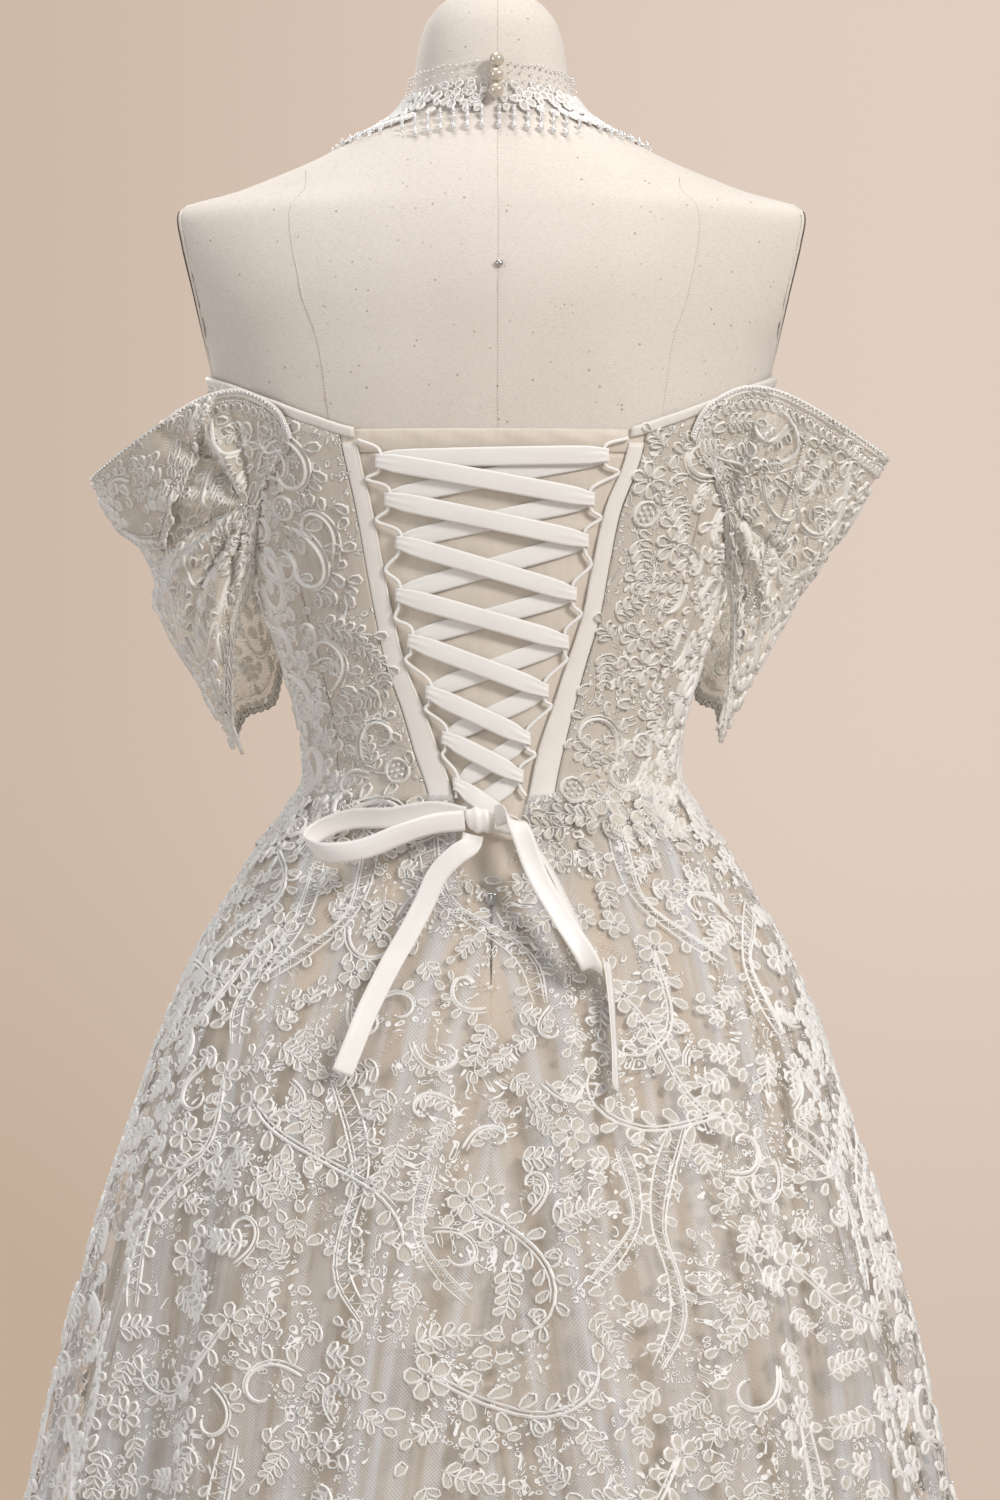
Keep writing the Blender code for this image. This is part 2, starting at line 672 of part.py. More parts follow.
# --------------------------------------------------------------------------- the lacing
def make_loops(side, sign):
    """One cord that swings out from the band to each bar and back."""
    stand_off = LOOP_CORD_RADIUS + 0.35
    start = LOOP_START_HEIGHT[side]
    route = [(opening_edge(side, start) - stand_off, start)]
    for loop in LOOPS[side]:
        route += [
            (loop.bar_x, loop.bar_top),
            (loop.bar_x, loop.bar_bottom),
            (opening_edge(side, loop.back_height) - stand_off, loop.back_height),
        ]
    curve = bpy.data.curves.new("loop_braid_" + side, "CURVE")
    curve.dimensions = "3D"
    curve.bevel_depth = LOOP_CORD_RADIUS * MM
    curve.bevel_resolution = 1
    curve.use_fill_caps = True
    spline = curve.splines.new("POLY")
    spline.points.add(len(route) - 1)
    for point, (x, z) in zip(spline.points, route):
        point.co = (*(DRESS.behind(sign * x, z, LOOP_LIFT) * MM), 1.0)
    item = bpy.data.objects.new(curve.name, curve)
    PARTS.objects.link(item)
    curve.materials.append(material(curve.name + "_finish", SATIN, 0.4))
    return item


def lacing_stations():
    """Stations along the lacing ribbon's centre line: x, height and lift.

    The ribbon runs level between the two top bars, and zigzags down from each of them,
    from side to side. It crosses towards the right in front and towards the left behind,
    and turns round a bar at the end of each crossing.
    """
    signs = {"left": 1.0, "right": -1.0}
    other = {"left": "right", "right": "left"}

    def chain(side):
        """The bars that one end of the ribbon visits, from the top down."""
        found = []
        for k in range(len(LOOPS[side])):
            loop, sign = LOOPS[side][k], signs[side]
            found.append((sign * loop.bar_x, (loop.bar_top + loop.bar_bottom) / 2, sign))
            side = other[side]
        return found

    upward, downward = chain("right")[::-1], chain("left")
    front, back = LOOP_LIFT + RIBBON_TURN, LOOP_LIFT - RIBBON_TURN
    stations = [(KNOT.x - 9.4, KNOT.height + 6.0, front)]
    for going, bars in ((1.0, upward), (-1.0, downward)):
        for k, (x, height, sign) in enumerate(bars):
            from_front = stations[-1][2] > LOOP_LIFT and bars[k] != downward[0]
            for turn in np.linspace(0.0, math.pi, 5):
                depth = math.cos(turn) if from_front else -math.cos(turn)
                stations.append((
                    x + sign * RIBBON_TURN * math.sin(turn),
                    height + going * 0.8 * (turn / math.pi - 0.5),
                    LOOP_LIFT + RIBBON_TURN * depth,
                ))
    stations.append((KNOT.x + 10.2, KNOT.height + 4.6, back))
    return stations


def make_lacing():
    """The ribbon through all loops, as one strip that follows the back's curve."""
    ends = lacing_stations()
    stations = []
    for a, b in zip(ends, ends[1:]):
        pieces = 5 if math.dist(a[:2], b[:2]) > 6.0 else 1
        stations += [np.add(a, np.subtract(b, a) * part / pieces) for part in range(pieces)]
    stations = np.array(stations + [np.array(ends[-1])])
    bars = np.array([
        (sign * loop.bar_x, (loop.bar_top + loop.bar_bottom) / 2)
        for side, sign in (("left", 1.0), ("right", -1.0))
        for loop in LOOPS[side]
    ])
    ways = np.gradient(stations[:, :2], axis=0)
    grid = []
    for (x, height, lift), (along, up) in zip(stations, ways):
        distance = float(np.min(np.hypot(*(bars - (x, height)).T)))
        upright = math.exp(-((distance / RIBBON_PINCH_REACH) ** 2))
        across = np.array([-up, along]) * (1.0 if along > 0 else -1.0)
        across = across / (np.linalg.norm(across) + 1e-9)
        across = across * (1 - upright) + np.array([0.0, 1.0]) * upright
        across = across / np.linalg.norm(across)
        half = (RIBBON_WIDTH - RIBBON_PINCH * upright) / 2
        grid.append([
            DRESS.behind(x + across[0] * reach, height + across[1] * reach, lift)
            for reach in (-half, half)
        ])
    wall("lacing_ribbon", grid, RIBBON_WALL, SATIN, 0.4)


def on_cloth(x, height, lift):
    """A point out from the back of the bodice or of the folded skirt."""
    return DRESS.behind(x, height, lift + fold_lift(DRESS.angle_of(x, height), height))


def make_bow():
    """Knot, two loops and two free tails of the same ribbon."""
    for name, route in BOW_ROUTES.items():
        rows = rounded([tuple(row) for row in route], 3 * (len(route) - 1) + 1)
        centre = np.array([on_cloth(x, z, lift) for x, z, lift, _, _ in rows])
        way = np.gradient(centre, axis=0)
        grid = []
        for point, ahead, (_, _, _, turn, lean) in zip(centre, way, rows):
            turn, lean = math.radians(turn), math.radians(lean)
            hint = np.array([
                math.sin(turn) * math.cos(lean), math.sin(lean), math.cos(turn) * math.cos(lean)
            ])
            ahead = ahead / np.linalg.norm(ahead)
            across = hint - ahead * float(hint @ ahead)
            across = across / np.linalg.norm(across)
            grid.append([point - across * BOW_WIDTH / 2, point + across * BOW_WIDTH / 2])
        wall(name, grid, RIBBON_WALL, SATIN, 0.4)
    mesh = bpy.data.meshes.new("bow_knot")
    shape = bmesh.new()
    bmesh.ops.create_cube(shape, size=2.0 * MM)
    bmesh.ops.scale(shape, vec=Vector(KNOT_HALF_SIZE), verts=shape.verts)
    shape.to_mesh(mesh)
    shape.free()
    knot = add_object("bow_knot", mesh, SATIN, 0.4)
    knot.location = Vector(tuple(on_cloth(KNOT.x, KNOT.height, KNOT.lift))) * MM
    bevel = knot.modifiers.new("rounding", "BEVEL")
    bevel.width = KNOT_ROUNDING * MM
    bevel.segments = 2


# ---------------------------------------------------------------------------- the skirt
def fold_lift(angle, height):
    """How far the skirt's folds stand out at a point."""
    total = 0.0
    for fold in SKIRT_FOLDS:
        away = abs((angle - fold.angle + 180.0) % 360.0 - 180.0) / (fold.width / 2)
        if away < 1.0 and height < fold.start:
            fallen = (fold.start - height) / (fold.start - HEM_HEIGHT)
            total += fold.lift * fallen**0.8 * 0.5 * (1 + math.cos(math.pi * away))
    return total


def make_skirt():
    """Eight gores of lace on tulle, the lining inside them, and the zip's slider."""
    seams = (0.0, 55.0, 97.0, 139.0, 180.0)
    half_gap = 0.06
    for side, sign in (("left", 1.0), ("right", -1.0)):
        for number, (word, columns) in enumerate(
            (("back", 12), ("side_back", 9), ("side_front", 9), ("front", 9))
        ):

            def edges(height, across, side=side, sign=sign, number=number):
                start = seams[number] + half_gap
                if number == 0:
                    inner = opening_edge(side, height) if height > OPENING[0].height else 0.0
                    start = DRESS.angle_of(max(inner, SEAM_GAP / 2), height)
                return sign * rising(start, seams[number + 1] - half_gap, across), height

            panel(
                "skirt_%s_%s" % (word, side), DRESS, SKIRT_HEIGHTS, edges, columns,
                TULLE_WALL, LACE, fold_lift,
            )
    make_lining()
    slider_height = 984.5
    slider = DRESS.behind(0.0, slider_height, TULLE_WALL / 2 + 0.3 + 1.6)
    add_round("zip_slider", slider, 4.0, (1.0, 0.4, 0.9), METAL, 1.0)


def make_lining():
    """The eight gores of the plain lining, hung inside the skirt."""
    heights = [height for height in SKIRT_HEIGHTS if height <= LINING_TOP]
    inset_heights, inset_depths = (column(LINING_INSETS, name) for name in Inset._fields)

    def inset(_angle, height):
        return -float(through(inset_heights, inset_depths, height))

    half_gap = 0.1
    for side, sign in (("left", 1.0), ("right", -1.0)):
        for number, word in enumerate(("back", "side_back", "side_front", "front")):

            def edges(height, across, sign=sign, start=45.0 * number):
                return sign * (start + rising(half_gap, 45.0 - half_gap, across)), height

            panel(
                "skirt_lining_%s_%s" % (word, side), DRESS, heights, edges, 5,
                LINING_WALL, CREAM, inset,
            )


# --------------------------------------------------------------------------- the sleeves
def sleeve_grid(side):
    """Points of a sleeve from its hem up to its rim, each row from back to front."""
    scale = SLEEVE_SIDES[side]
    lines = [
        (SLEEVE_HEM, scale.hem, 0.0),
        (SLEEVE_BELLY, scale.belly, 0.3),
        (SLEEVE_FOLD, scale.fold, 0.6),
        (SLEEVE_RIM, scale.rim, 1.0),
    ]
    rows = []
    for line, keep, rise in lines:
        least = min(row.lift for row in line)
        tall = max(row.lift for row in line)
        rows.append([
            DRESS.lifted(
                scale.sign * row.angle,
                row.height + scale.tip_rise * rise * row.lift / tall,
                least + (row.lift - least) * keep,
            )
            for row in line
        ])
    across = [rounded(row, 21) for row in rows]
    stations = np.array(across).transpose(1, 0, 2)
    return np.array([rounded(station, 8) for station in stations]).transpose(1, 0, 2)


def make_sleeves():
    """Two draped lace sleeves, each with a beaded trim along its rim."""
    for side in ("left", "right"):
        grid = sleeve_grid(side)
        wall("sleeve_" + side, grid, SLEEVE_WALL, LACE, 0.7)
        rim, below = grid[-1], grid[-2]
        up = rim - below
        up = up / np.linalg.norm(up, axis=1)[:, None]
        trim = [rim + up * distance for distance in (0.5, 4.0)]
        wall("sleeve_trim_" + side, trim, 2.2, LACE, 0.7)


# ---------------------------------------------------------------------------- the collar
def make_collar():
    """Lace collar, open at the back, its bead fringe and three pearl buttons."""
    angles = column(COLLAR_EDGES, "angle")

    def edge(name, angle):
        turned_in = abs((angle + 180.0) % 360.0 - 180.0)
        return float(through(angles, column(COLLAR_EDGES, name), turned_in))

    def lift(_angle, _height):
        return COLLAR_LIFT

    def between(low_name, high_name, below):
        def edges(share, across):
            angle = 1.0 + 358.0 * across
            return angle, rising(edge(low_name, angle), edge(high_name, angle) - below, share)

        return edges

    panel(
        "collar_lace", FORM, np.linspace(0, 1, 6), between("lace", "top", 0.0), 36,
        COLLAR_WALL, LACE, lift,
    )
    panel(
        "collar_bead_fringe", FORM, (0.0, 1.0), between("fringe", "lace", 0.4), 36,
        FRINGE_WALL, PEARL, lift,
    )
    for number, height in enumerate(PEARL_HEIGHTS, 1):
        centre = FORM.behind(PEARL_X, height, COLLAR_LIFT + COLLAR_WALL / 2 + PEARL_RADIUS + 0.4)
        add_round("pearl_button_%d" % number, centre, PEARL_RADIUS, (1.0, 1.0, 1.0), PEARL)


def main():
    make_form()
    make_bodice()
    make_modesty_panel()
    make_loops("left", 1.0)
    make_loops("right", -1.0)
    make_lacing()
    make_bow()
    make_skirt()
    make_sleeves()
    make_collar()


clear_scene()
main()
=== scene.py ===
"""Wedding dress on a limbless dress form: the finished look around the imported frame.

Sizes are in millimetres and degrees until a mesh is made. The back of the dress faces +Y
and +X is the wearer's left. A point of the dress is named by its angle (0 at the centre
back, +90 at the wearer's left, 180 at the front) and its height. Every cloth is a Drape, a
grid of points that is shown as a mesh and also carries the lace, cords and beads sewn on it.
"""

from dataclasses import dataclass, field
from enum import Enum
from functools import cached_property
import logging
import math
from typing import Callable, Dict, Iterable, List, Optional, Sequence, Tuple

import bpy
import numpy as np
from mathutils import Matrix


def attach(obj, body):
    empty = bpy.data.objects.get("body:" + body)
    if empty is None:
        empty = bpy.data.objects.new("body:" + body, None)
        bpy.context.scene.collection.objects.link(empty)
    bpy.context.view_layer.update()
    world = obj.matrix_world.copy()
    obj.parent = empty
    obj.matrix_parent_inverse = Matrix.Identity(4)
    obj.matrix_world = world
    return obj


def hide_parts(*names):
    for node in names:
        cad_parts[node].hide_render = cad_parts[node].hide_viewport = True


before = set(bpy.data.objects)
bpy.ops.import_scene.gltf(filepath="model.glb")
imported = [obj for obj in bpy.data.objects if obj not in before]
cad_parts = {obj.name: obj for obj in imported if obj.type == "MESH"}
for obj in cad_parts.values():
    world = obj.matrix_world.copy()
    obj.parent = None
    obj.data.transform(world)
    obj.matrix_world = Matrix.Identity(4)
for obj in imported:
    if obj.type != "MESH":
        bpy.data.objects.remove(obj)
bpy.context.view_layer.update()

LOG = logging.getLogger("wedding_dress")
MM = 0.001
HEM_HEIGHT = 8.0
WAIST_SEAM = 1044.0
DRESS_EASE = 3.8

Array = np.ndarray
Colour = Tuple[float, float, float]
Socket = bpy.types.NodeSocket
Piece = bpy.types.Object
Test = Callable[[Array, Array], Array]
Field = Callable[[float, float], float]


# ------------------------------------------------------------------------- named choices
class Slot(Enum):
    """The record's material slots."""

    LACE_OVER_SATIN = "lace_over_satin"
    IVORY_SATIN = "ivory_satin"
    CREAM_SATIN = "cream_satin"
    LINING_SATIN = "lining_satin"
    LACE_ON_TULLE = "lace_on_tulle"
    LACE_NET = "lace_net"
    PEARL = "pearl"
    SMALL_METAL = "small_metal"
    LINEN = "linen"
    PAINTED_STAND = "painted_stand"


class Side(Enum):
    """The wearer's two sides, by the sign of their angles."""

    LEFT = 1.0
    RIGHT = -1.0

    @property
    def word(self) -> str:
        """The side's word in piece names."""
        return self.name.lower()


# ------------------------------------------------------------------------------- numbers
def through(xs: Sequence[float], ys: Sequence[float], at: Array) -> Array:
    """A smooth curve through points that never overshoots them.

    Args:
        xs: rising stations of the points.
        ys: their values.
        at: where the curve is wanted.

    Returns:
        The curve's values at those places.
    """
    xs, ys, at = np.asarray(xs, float), np.asarray(ys, float), np.asarray(at, float)
    step = np.diff(xs)
    rise = np.diff(ys) / step
    slope = np.zeros_like(ys)
    near, far = 2 * step[1:] + step[:-1], step[1:] + 2 * step[:-1]
    with np.errstate(divide="ignore", invalid="ignore"):
        mean = (near + far) / (near / rise[:-1] + far / rise[1:])
    slope[1:-1] = np.where(rise[:-1] * rise[1:] > 0, mean, 0.0)
    slope[0], slope[-1] = rise[0], rise[-1]
    i = np.clip(np.searchsorted(xs, at, side="right") - 1, 0, len(xs) - 2)
    t = np.clip((at - xs[i]) / step[i], 0.0, 1.0)
    value = ys[i] * (1 + 2 * t) * (1 - t) ** 2 + slope[i] * step[i] * t * (1 - t) ** 2
    value += ys[i + 1] * t * t * (3 - 2 * t) + slope[i + 1] * step[i] * t * t * (t - 1)
    return value


def rounded(points: Array, count: int) -> Array:
    """Count rows, evenly spaced by station, along a smooth curve through an array's rows."""
    points = np.asarray(points, float)
    p = np.concatenate([[2 * points[0] - points[1]], points, [2 * points[-1] - points[-2]]])
    s = np.linspace(0, len(points) - 1, count)
    i = np.minimum(s.astype(int), len(points) - 2)
    t = (s - i).reshape((-1,) + (1,) * (points.ndim - 1))
    a, b, c, d = p[i], p[i + 1], p[i + 2], p[i + 3]
    cubic = 3 * b - a - 3 * c + d
    return 0.5 * (2 * b + (c - a) * t + (2 * a - 5 * b + 4 * c - d) * t**2 + cubic * t**3)


def eased(share: Array) -> Array:
    """A share from 0 to 1 with soft ends."""
    share = np.clip(share, 0.0, 1.0)
    return share * share * (3 - 2 * share)


def unit(vectors: Array) -> Array:
    """Vectors at length one."""
    return vectors / np.maximum(np.linalg.norm(vectors, axis=-1, keepdims=True), 1e-9)


def cols(*parts: Array) -> Array:
    """Puts values side by side, as the columns of new rows."""
    return np.stack(np.broadcast_arrays(*parts), axis=-1)


def travelled(line: Array) -> Array:
    """How far along a line each of its points lies."""
    return np.concatenate([[0.0], np.cumsum(np.linalg.norm(np.diff(line, axis=0), axis=1))])


def read_along(at: Array, stations: Array, table: Array) -> Array:
    """A table's rows between its stations."""
    return np.stack([np.interp(at, stations, column) for column in table.T], axis=1)


def aside_of(line: Array) -> Tuple[Array, Array]:
    """A flat line's directions, and those to its right."""
    ways = unit(np.gradient(line, axis=0))
    return ways, cols(ways[:, 1], -ways[:, 0])


def square_to(ways: Array) -> Tuple[Array, Array]:
    """Two directions at right angles to each way and to each other."""
    hint = np.where(np.abs(ways[..., 2:]) > 0.9, [1.0, 0.0, 0.0], [0.0, 0.0, 1.0])
    one = unit(np.cross(ways, hint))
    return one, np.cross(ways, one)


def round_gap(angle: Array) -> Array:
    """A direction from the centre back in degrees, from -180 to 180."""
    return (angle + 180.0) % 360.0 - 180.0


def neighbours(count: int, closed: bool) -> Tuple[Array, Array, Array]:
    """The numbers of the points before and after each point of a line, and which are ends."""
    step = np.arange(count)
    if closed:
        return (step - 1) % count, (step + 1) % count, step < 0
    before, after = np.maximum(step - 1, 0), np.minimum(step + 1, count - 1)
    return before, after, (before == step) | (after == step)


# -------------------------------------------------------------------------------- shells
class Shell:
    """A body surface made of level cross-sections."""

    SQUARENESS = 2.25
    NAMES = ("height", "half_width", "front", "back", "plate")

    def __init__(self, rows: Array) -> None:
        """Args: a section's height, half width, reach to front and back, half arm plate."""
        self.columns = dict(zip(self.NAMES, rows.T))

    def size(self, name: str, height: Array) -> Array:
        """One of the sections' sizes at a height."""
        return through(self.columns["height"], self.columns[name], height)

    def at(self, angle: Array, height: Array) -> Array:
        """Surface points at angles from the centre back."""
        angle, height = np.broadcast_arrays(np.asarray(angle, float), np.asarray(height, float))
        sine, cosine = np.sin(np.radians(angle)), np.cos(np.radians(angle))
        power, half = 2 / self.SQUARENESS, self.size("half_width", height)
        reach = np.where(cosine > 0, self.size("back", height), self.size("front", height))
        plate = (self.size("plate", height) / reach) ** self.SQUARENESS
        full = half / (1 - plate) ** (1 / self.SQUARENESS)
        x = np.minimum(full * np.abs(sine) ** power, half)
        y = reach * np.abs(cosine) ** power
        return cols(np.copysign(x, sine), np.copysign(y, cosine), height)

    def angle_of(self, x: Array, height: Array) -> Array:
        """The angle, on the back, where the surface has this x."""
        share = np.minimum(np.abs(x) / self.size("half_width", height), 1.0)
        return np.copysign(np.degrees(np.arcsin(share ** (self.SQUARENESS / 2))), x)

    def normal(self, angle: Array, height: Array) -> Array:
        """The outward direction at points, from their neighbours on the surface."""
        turn, rise = 1.0, 1.5
        height = np.asarray(height, float)
        across = self.at(angle + turn, height) - self.at(angle - turn, height)
        low = np.maximum(height - rise, self.columns["height"][0])
        high = np.minimum(height + rise, self.columns["height"][-1])
        return unit(np.cross(self.at(angle, high) - self.at(angle, low), across))

    def lifted(self, angle: Array, height: Array, lift: Array) -> Array:
        """Surface points moved out along the normal."""
        angle, height = np.broadcast_arrays(np.asarray(angle, float), np.asarray(height, float))
        lift = np.broadcast_to(np.asarray(lift, float), angle.shape)
        return self.at(angle, height) + lift[..., None] * self.normal(angle, height)


FORM_ROWS = np.array([
    (800, 167, 108, 110, 0), (860, 170, 112, 114, 0), (930, 157, 104, 105, 0),
    (985, 134, 94, 92, 0), (1030, 117, 87, 81, 0), (1060, 111, 84, 77, 0),
    (1080, 112, 85, 76.5, 0), (1120, 122, 94, 78, 0), (1180, 141, 113, 83, 0),
    (1230, 155, 127, 87.5, 0), (1270, 164, 121, 91, 0), (1300, 171, 107, 93, 0),
    (1350, 181, 88, 93, 38), (1385, 189, 75, 87, 42), (1400, 191.5, 67, 83, 40),
    (1406.5, 189.5, 64, 81, 36), (1421, 153, 57, 75, 0), (1437, 114, 51, 67, 0),
    (1447.5, 93, 48, 61, 0), (1456, 75, 46.5, 56, 0), (1468, 58, 45, 50.5, 0),
    (1480, 50.5, 43.5, 47, 0), (1490, 48, 42.5, 45.5, 0), (1505, 46, 41, 44, 0),
    (1521, 42, 38, 40.5, 0), (1533, 34.5, 31.5, 33.5, 0), (1541, 24, 22, 23, 0),
    (1545, 9, 8.5, 9, 0),
])
SKIRT_ROWS = np.array([
    (HEM_HEIGHT, 402, 380, 415, 0), (200, 365, 345, 372, 0), (400, 324, 300, 318, 0),
    (610, 277.5, 246, 256, 0), (734, 252.5, 215, 212, 0), (793, 237.5, 196, 188, 0),
    (865, 215.5, 168, 155, 0), (902, 204, 153, 138, 0), (935, 190, 139, 121, 0),
    (960, 178, 128, 109, 0), (982, 164, 117, 99.5, 0), (1013, 145, 103, 89, 0),
    (1031, 130, 94, 85, 0),
])
BODICE_ROWS = FORM_ROWS[(FORM_ROWS[:, 0] > 1050) & (FORM_ROWS[:, 0] < 1390)]
FORM = Shell(FORM_ROWS)
DRESS = Shell(np.concatenate([SKIRT_ROWS, BODICE_ROWS + DRESS_EASE * np.array([0, 1, 1, 1, 0])]))


# ------------------------------------------------------------------------- mesh building
class Build:
    """Collects the points and faces of one piece, in millimetres, and makes its mesh.

    In a filled piece the triangles are the stitched filling between the cords.
    """

    def __init__(self, filled: bool = False) -> None:
        self.filled = int(filled)
        self.points, self.quads, self.tris, self.marks = [], [], [], []
        self.count = 0

    def add(
        self, points: Array, quads: Optional[Array] = None, tris: Optional[Array] = None,
        marks: Optional[Array] = None,
    ) -> None:
        """Adds points with faces that count from the first of them.

        Args:
            points: N by 3 points.
            quads: four-cornered faces.
            tris: three-cornered faces.
            marks: N by 2 places on the flat cloth, for the weave.
        """
        points = np.asarray(points, float).reshape(-1, 3)
        for faces, kept in ((quads, self.quads), (tris, self.tris)):
            if faces is not None and len(faces):
                kept.append(np.asarray(faces, int) + self.count)
        self.points.append(points)
        self.marks.append(np.zeros((len(points), 2)) if marks is None else marks.reshape(-1, 2))
        self.count += len(points)

    @property
    def triangles(self) -> int:
        """How many triangles the faces make."""
        return sum(2 * len(q) for q in self.quads) + sum(len(t) for t in self.tris)

    def fill(self, mesh: bpy.types.Mesh) -> None:
        """Fills a mesh: smooth, in metres, with places on the flat cloth as its UV map."""
        faces = [face for group in self.quads + self.tris for face in group.tolist()]
        mesh.from_pydata((np.concatenate(self.points) * MM).tolist(), [], faces)
        corner = np.zeros(len(mesh.loops), np.int32)
        mesh.loops.foreach_get("vertex_index", corner)
        marks = np.concatenate(self.marks) * MM
        mesh.uv_layers.new(name="cloth").data.foreach_set("uv", marks[corner].ravel())
        kinds = np.repeat([0, 1], [sum(map(len, self.quads)), sum(map(len, self.tris))])
        mesh.polygons.foreach_set("material_index", kinds * self.filled)
        mesh.shade_smooth()


def grid_quads(rows: int, columns: int, outward: float = 1.0, closed: bool = False) -> Array:
    """Quads of a grid of rows by columns, facing out where columns run leftward.

    Args:
        rows: rows of points, going up.
        columns: points in a row.
        outward: 1, or -1 where the columns run the other way.
        closed: whether the last column joins the first.

    Returns:
        One row of four point numbers for each quad.
    """
    around = columns if closed else columns - 1
    r, c = np.meshgrid(np.arange(rows - 1), np.arange(around), indexing="ij")
    a, b = r * columns + c, r * columns + (c + 1) % columns
    quads = cols(a, a + columns, b + columns, b).reshape(-1, 4)
    return quads if outward > 0 else quads[:, ::-1]


def fan(count: int) -> Array:
    """Triangles that fill a ring of points."""
    return np.array([[0, k, k + 1] for k in range(1, count - 1)])


class Drape:
    """A cloth surface: a grid of points that is shown as a mesh and carries what is on it."""

    def __init__(self, points: Array, us: Array, vs: Array, outward: float = 1.0) -> None:
        """Args: points by row and column, the columns' stations and the rows' stations."""
        self.points, self.us, self.vs, self.outward = points, us, vs, outward
        along_u, along_v = np.gradient(points, axis=1), np.gradient(points, axis=0)
        self.normals = unit(np.cross(along_v, along_u)) * outward
        self.per_u = np.linalg.norm(along_u, axis=-1) / np.gradient(us)[None, :]
        self.per_v = np.linalg.norm(along_v, axis=-1) / np.gradient(vs)[:, None]

    def read(self, values: Array, u: Array, v: Array) -> Array:
        """Values of the grid between its points."""
        fu = np.interp(u, self.us, np.arange(len(self.us)))
        fv = np.interp(v, self.vs, np.arange(len(self.vs)))
        i = np.minimum(fu.astype(int), len(self.us) - 2)
        j = np.minimum(fv.astype(int), len(self.vs) - 2)
        s, t = fu - i, fv - j
        if values.ndim == 3:
            s, t = s[..., None], t[..., None]
        low = values[j, i] * (1 - s) + values[j, i + 1] * s
        high = values[j + 1, i] * (1 - s) + values[j + 1, i + 1] * s
        return low * (1 - t) + high * t

    def raised(self, u: Array, v: Array, lift: Array) -> Tuple[Array, Array]:
        """Points a little off the cloth, and the directions out of it there."""
        u, v = np.broadcast_arrays(u, v)
        out = unit(self.read(self.normals, u, v))
        lift = np.broadcast_to(np.asarray(lift, float), np.shape(u))
        return self.read(self.points, u, v) + lift[..., None] * out, out

    def spans(self) -> Tuple[Array, Array]:
        """The lengths of the grid's edges, across and along."""
        wide, tall = (np.diff(self.points, axis=axis) for axis in (1, 0))
        return np.linalg.norm(wide, axis=-1), np.linalg.norm(tall, axis=-1)

    def sizes(self) -> Tuple[float, float, float]:
        """The flat cut: its greatest width and length and its area, in metres."""
        wide, tall = self.spans()
        rows, columns = (wide[:-1] + wide[1:]) / 2, (tall[:, :-1] + tall[:, 1:]) / 2
        width, length = wide.sum(axis=1).max() * MM, tall.sum(axis=0).max() * MM
        return width, length, min(float((rows * columns).sum()) * MM * MM, width * length)

    def build(self) -> Build:
        """The grid as a piece of its own, marked with its points' places on the flat cloth."""
        wide, tall = self.spans()
        u = np.cumsum(np.pad(wide, ((0, 0), (1, 0))), axis=1)
        v = np.cumsum(np.pad(tall, ((1, 0), (0, 0))), axis=0)
        build = Build()
        quads = grid_quads(len(self.vs), len(self.us), self.outward)
        build.add(self.points, quads, marks=cols(u - u.mean(axis=1, keepdims=True), v))
        return build


def add_ridge(
    build: Build, points: Array, normals: Array, before: Array, after: Array, half: Array,
    rise: Array,
) -> None:
    """Adds raised cords that follow lines lying on a cloth.

    Args:
        build: the piece that gets them.
        points: the lines' points, one line after another.
        normals: the directions out of the cloth there.
        before: for each point, the number of the one before it, or its own.
        after: the number of the one after it, or its own at a line's end.
        half: half the cord's width at each point.
        rise: how far the cord stands up.
    """
    sink = 0.25
    aside = unit(np.cross(normals, points[after] - points[before])) * half[:, None]
    low = points - normals * sink
    rows = np.stack([low - aside, points + normals * rise[:, None], low + aside], axis=1)
    i = np.flatnonzero(after != np.arange(len(points)))
    j = after[i]
    left = cols(3 * i, 3 * j, 3 * j + 1, 3 * i + 1)
    build.add(rows, np.concatenate([left, left + 1]))


def add_line(
    build: Build, points: Array, normals: Array, half: float, rise: float, closed: bool = False
) -> None:
    """Adds one cord along a line, with thin ends if it is open."""
    before, after, ends = neighbours(len(points), closed)
    width, height = np.where(ends, 0.3, 1.0) * half, np.where(ends, 0.2, 1.0) * rise
    add_ridge(build, points, normals, before, after, width, height)


def add_beads(
    build: Build, centres: Array, normals: Array, radii: Array, sides: int = 6, rings: int = 2
) -> None:
    """Adds beads that stand on a cloth as low domes.

    Args:
        build: the piece that gets them.
        centres: the points where they sit.
        normals: the directions out of the cloth.
        radii: their radii.
        sides: corners of each ring.
        rings: rings below the tip.
    """
    if not len(centres):
        return
    seat, tip = 0.55, 1.55
    radii = np.broadcast_to(np.asarray(radii, float), (len(centres),))[:, None]
    one, two = square_to(normals)
    rows = []
    for ring in range(rings):
        up = math.radians(-25.0 + 100.0 * ring / rings)
        for side in range(sides):
            turn = 2 * math.pi * (side + 0.5 * ring) / sides
            flat = one * math.cos(turn) + two * math.sin(turn)
            rows.append(centres + radii * (flat * math.cos(up) + normals * (seat + math.sin(up))))
    rows.append(centres + radii * tip * normals)
    start = np.arange(len(centres))[:, None, None] * len(rows)
    quads = grid_quads(rings, sides, -1.0, closed=True)[:, [3, 0, 1, 2]]
    k, top = np.arange(sides), (rings - 1) * sides
    cap = cols(top + k, top + (k + 1) % sides, len(rows) - 1)
    build.add(np.stack(rows, axis=1), (start + quads).reshape(-1, 4), (start + cap).reshape(-1, 3))


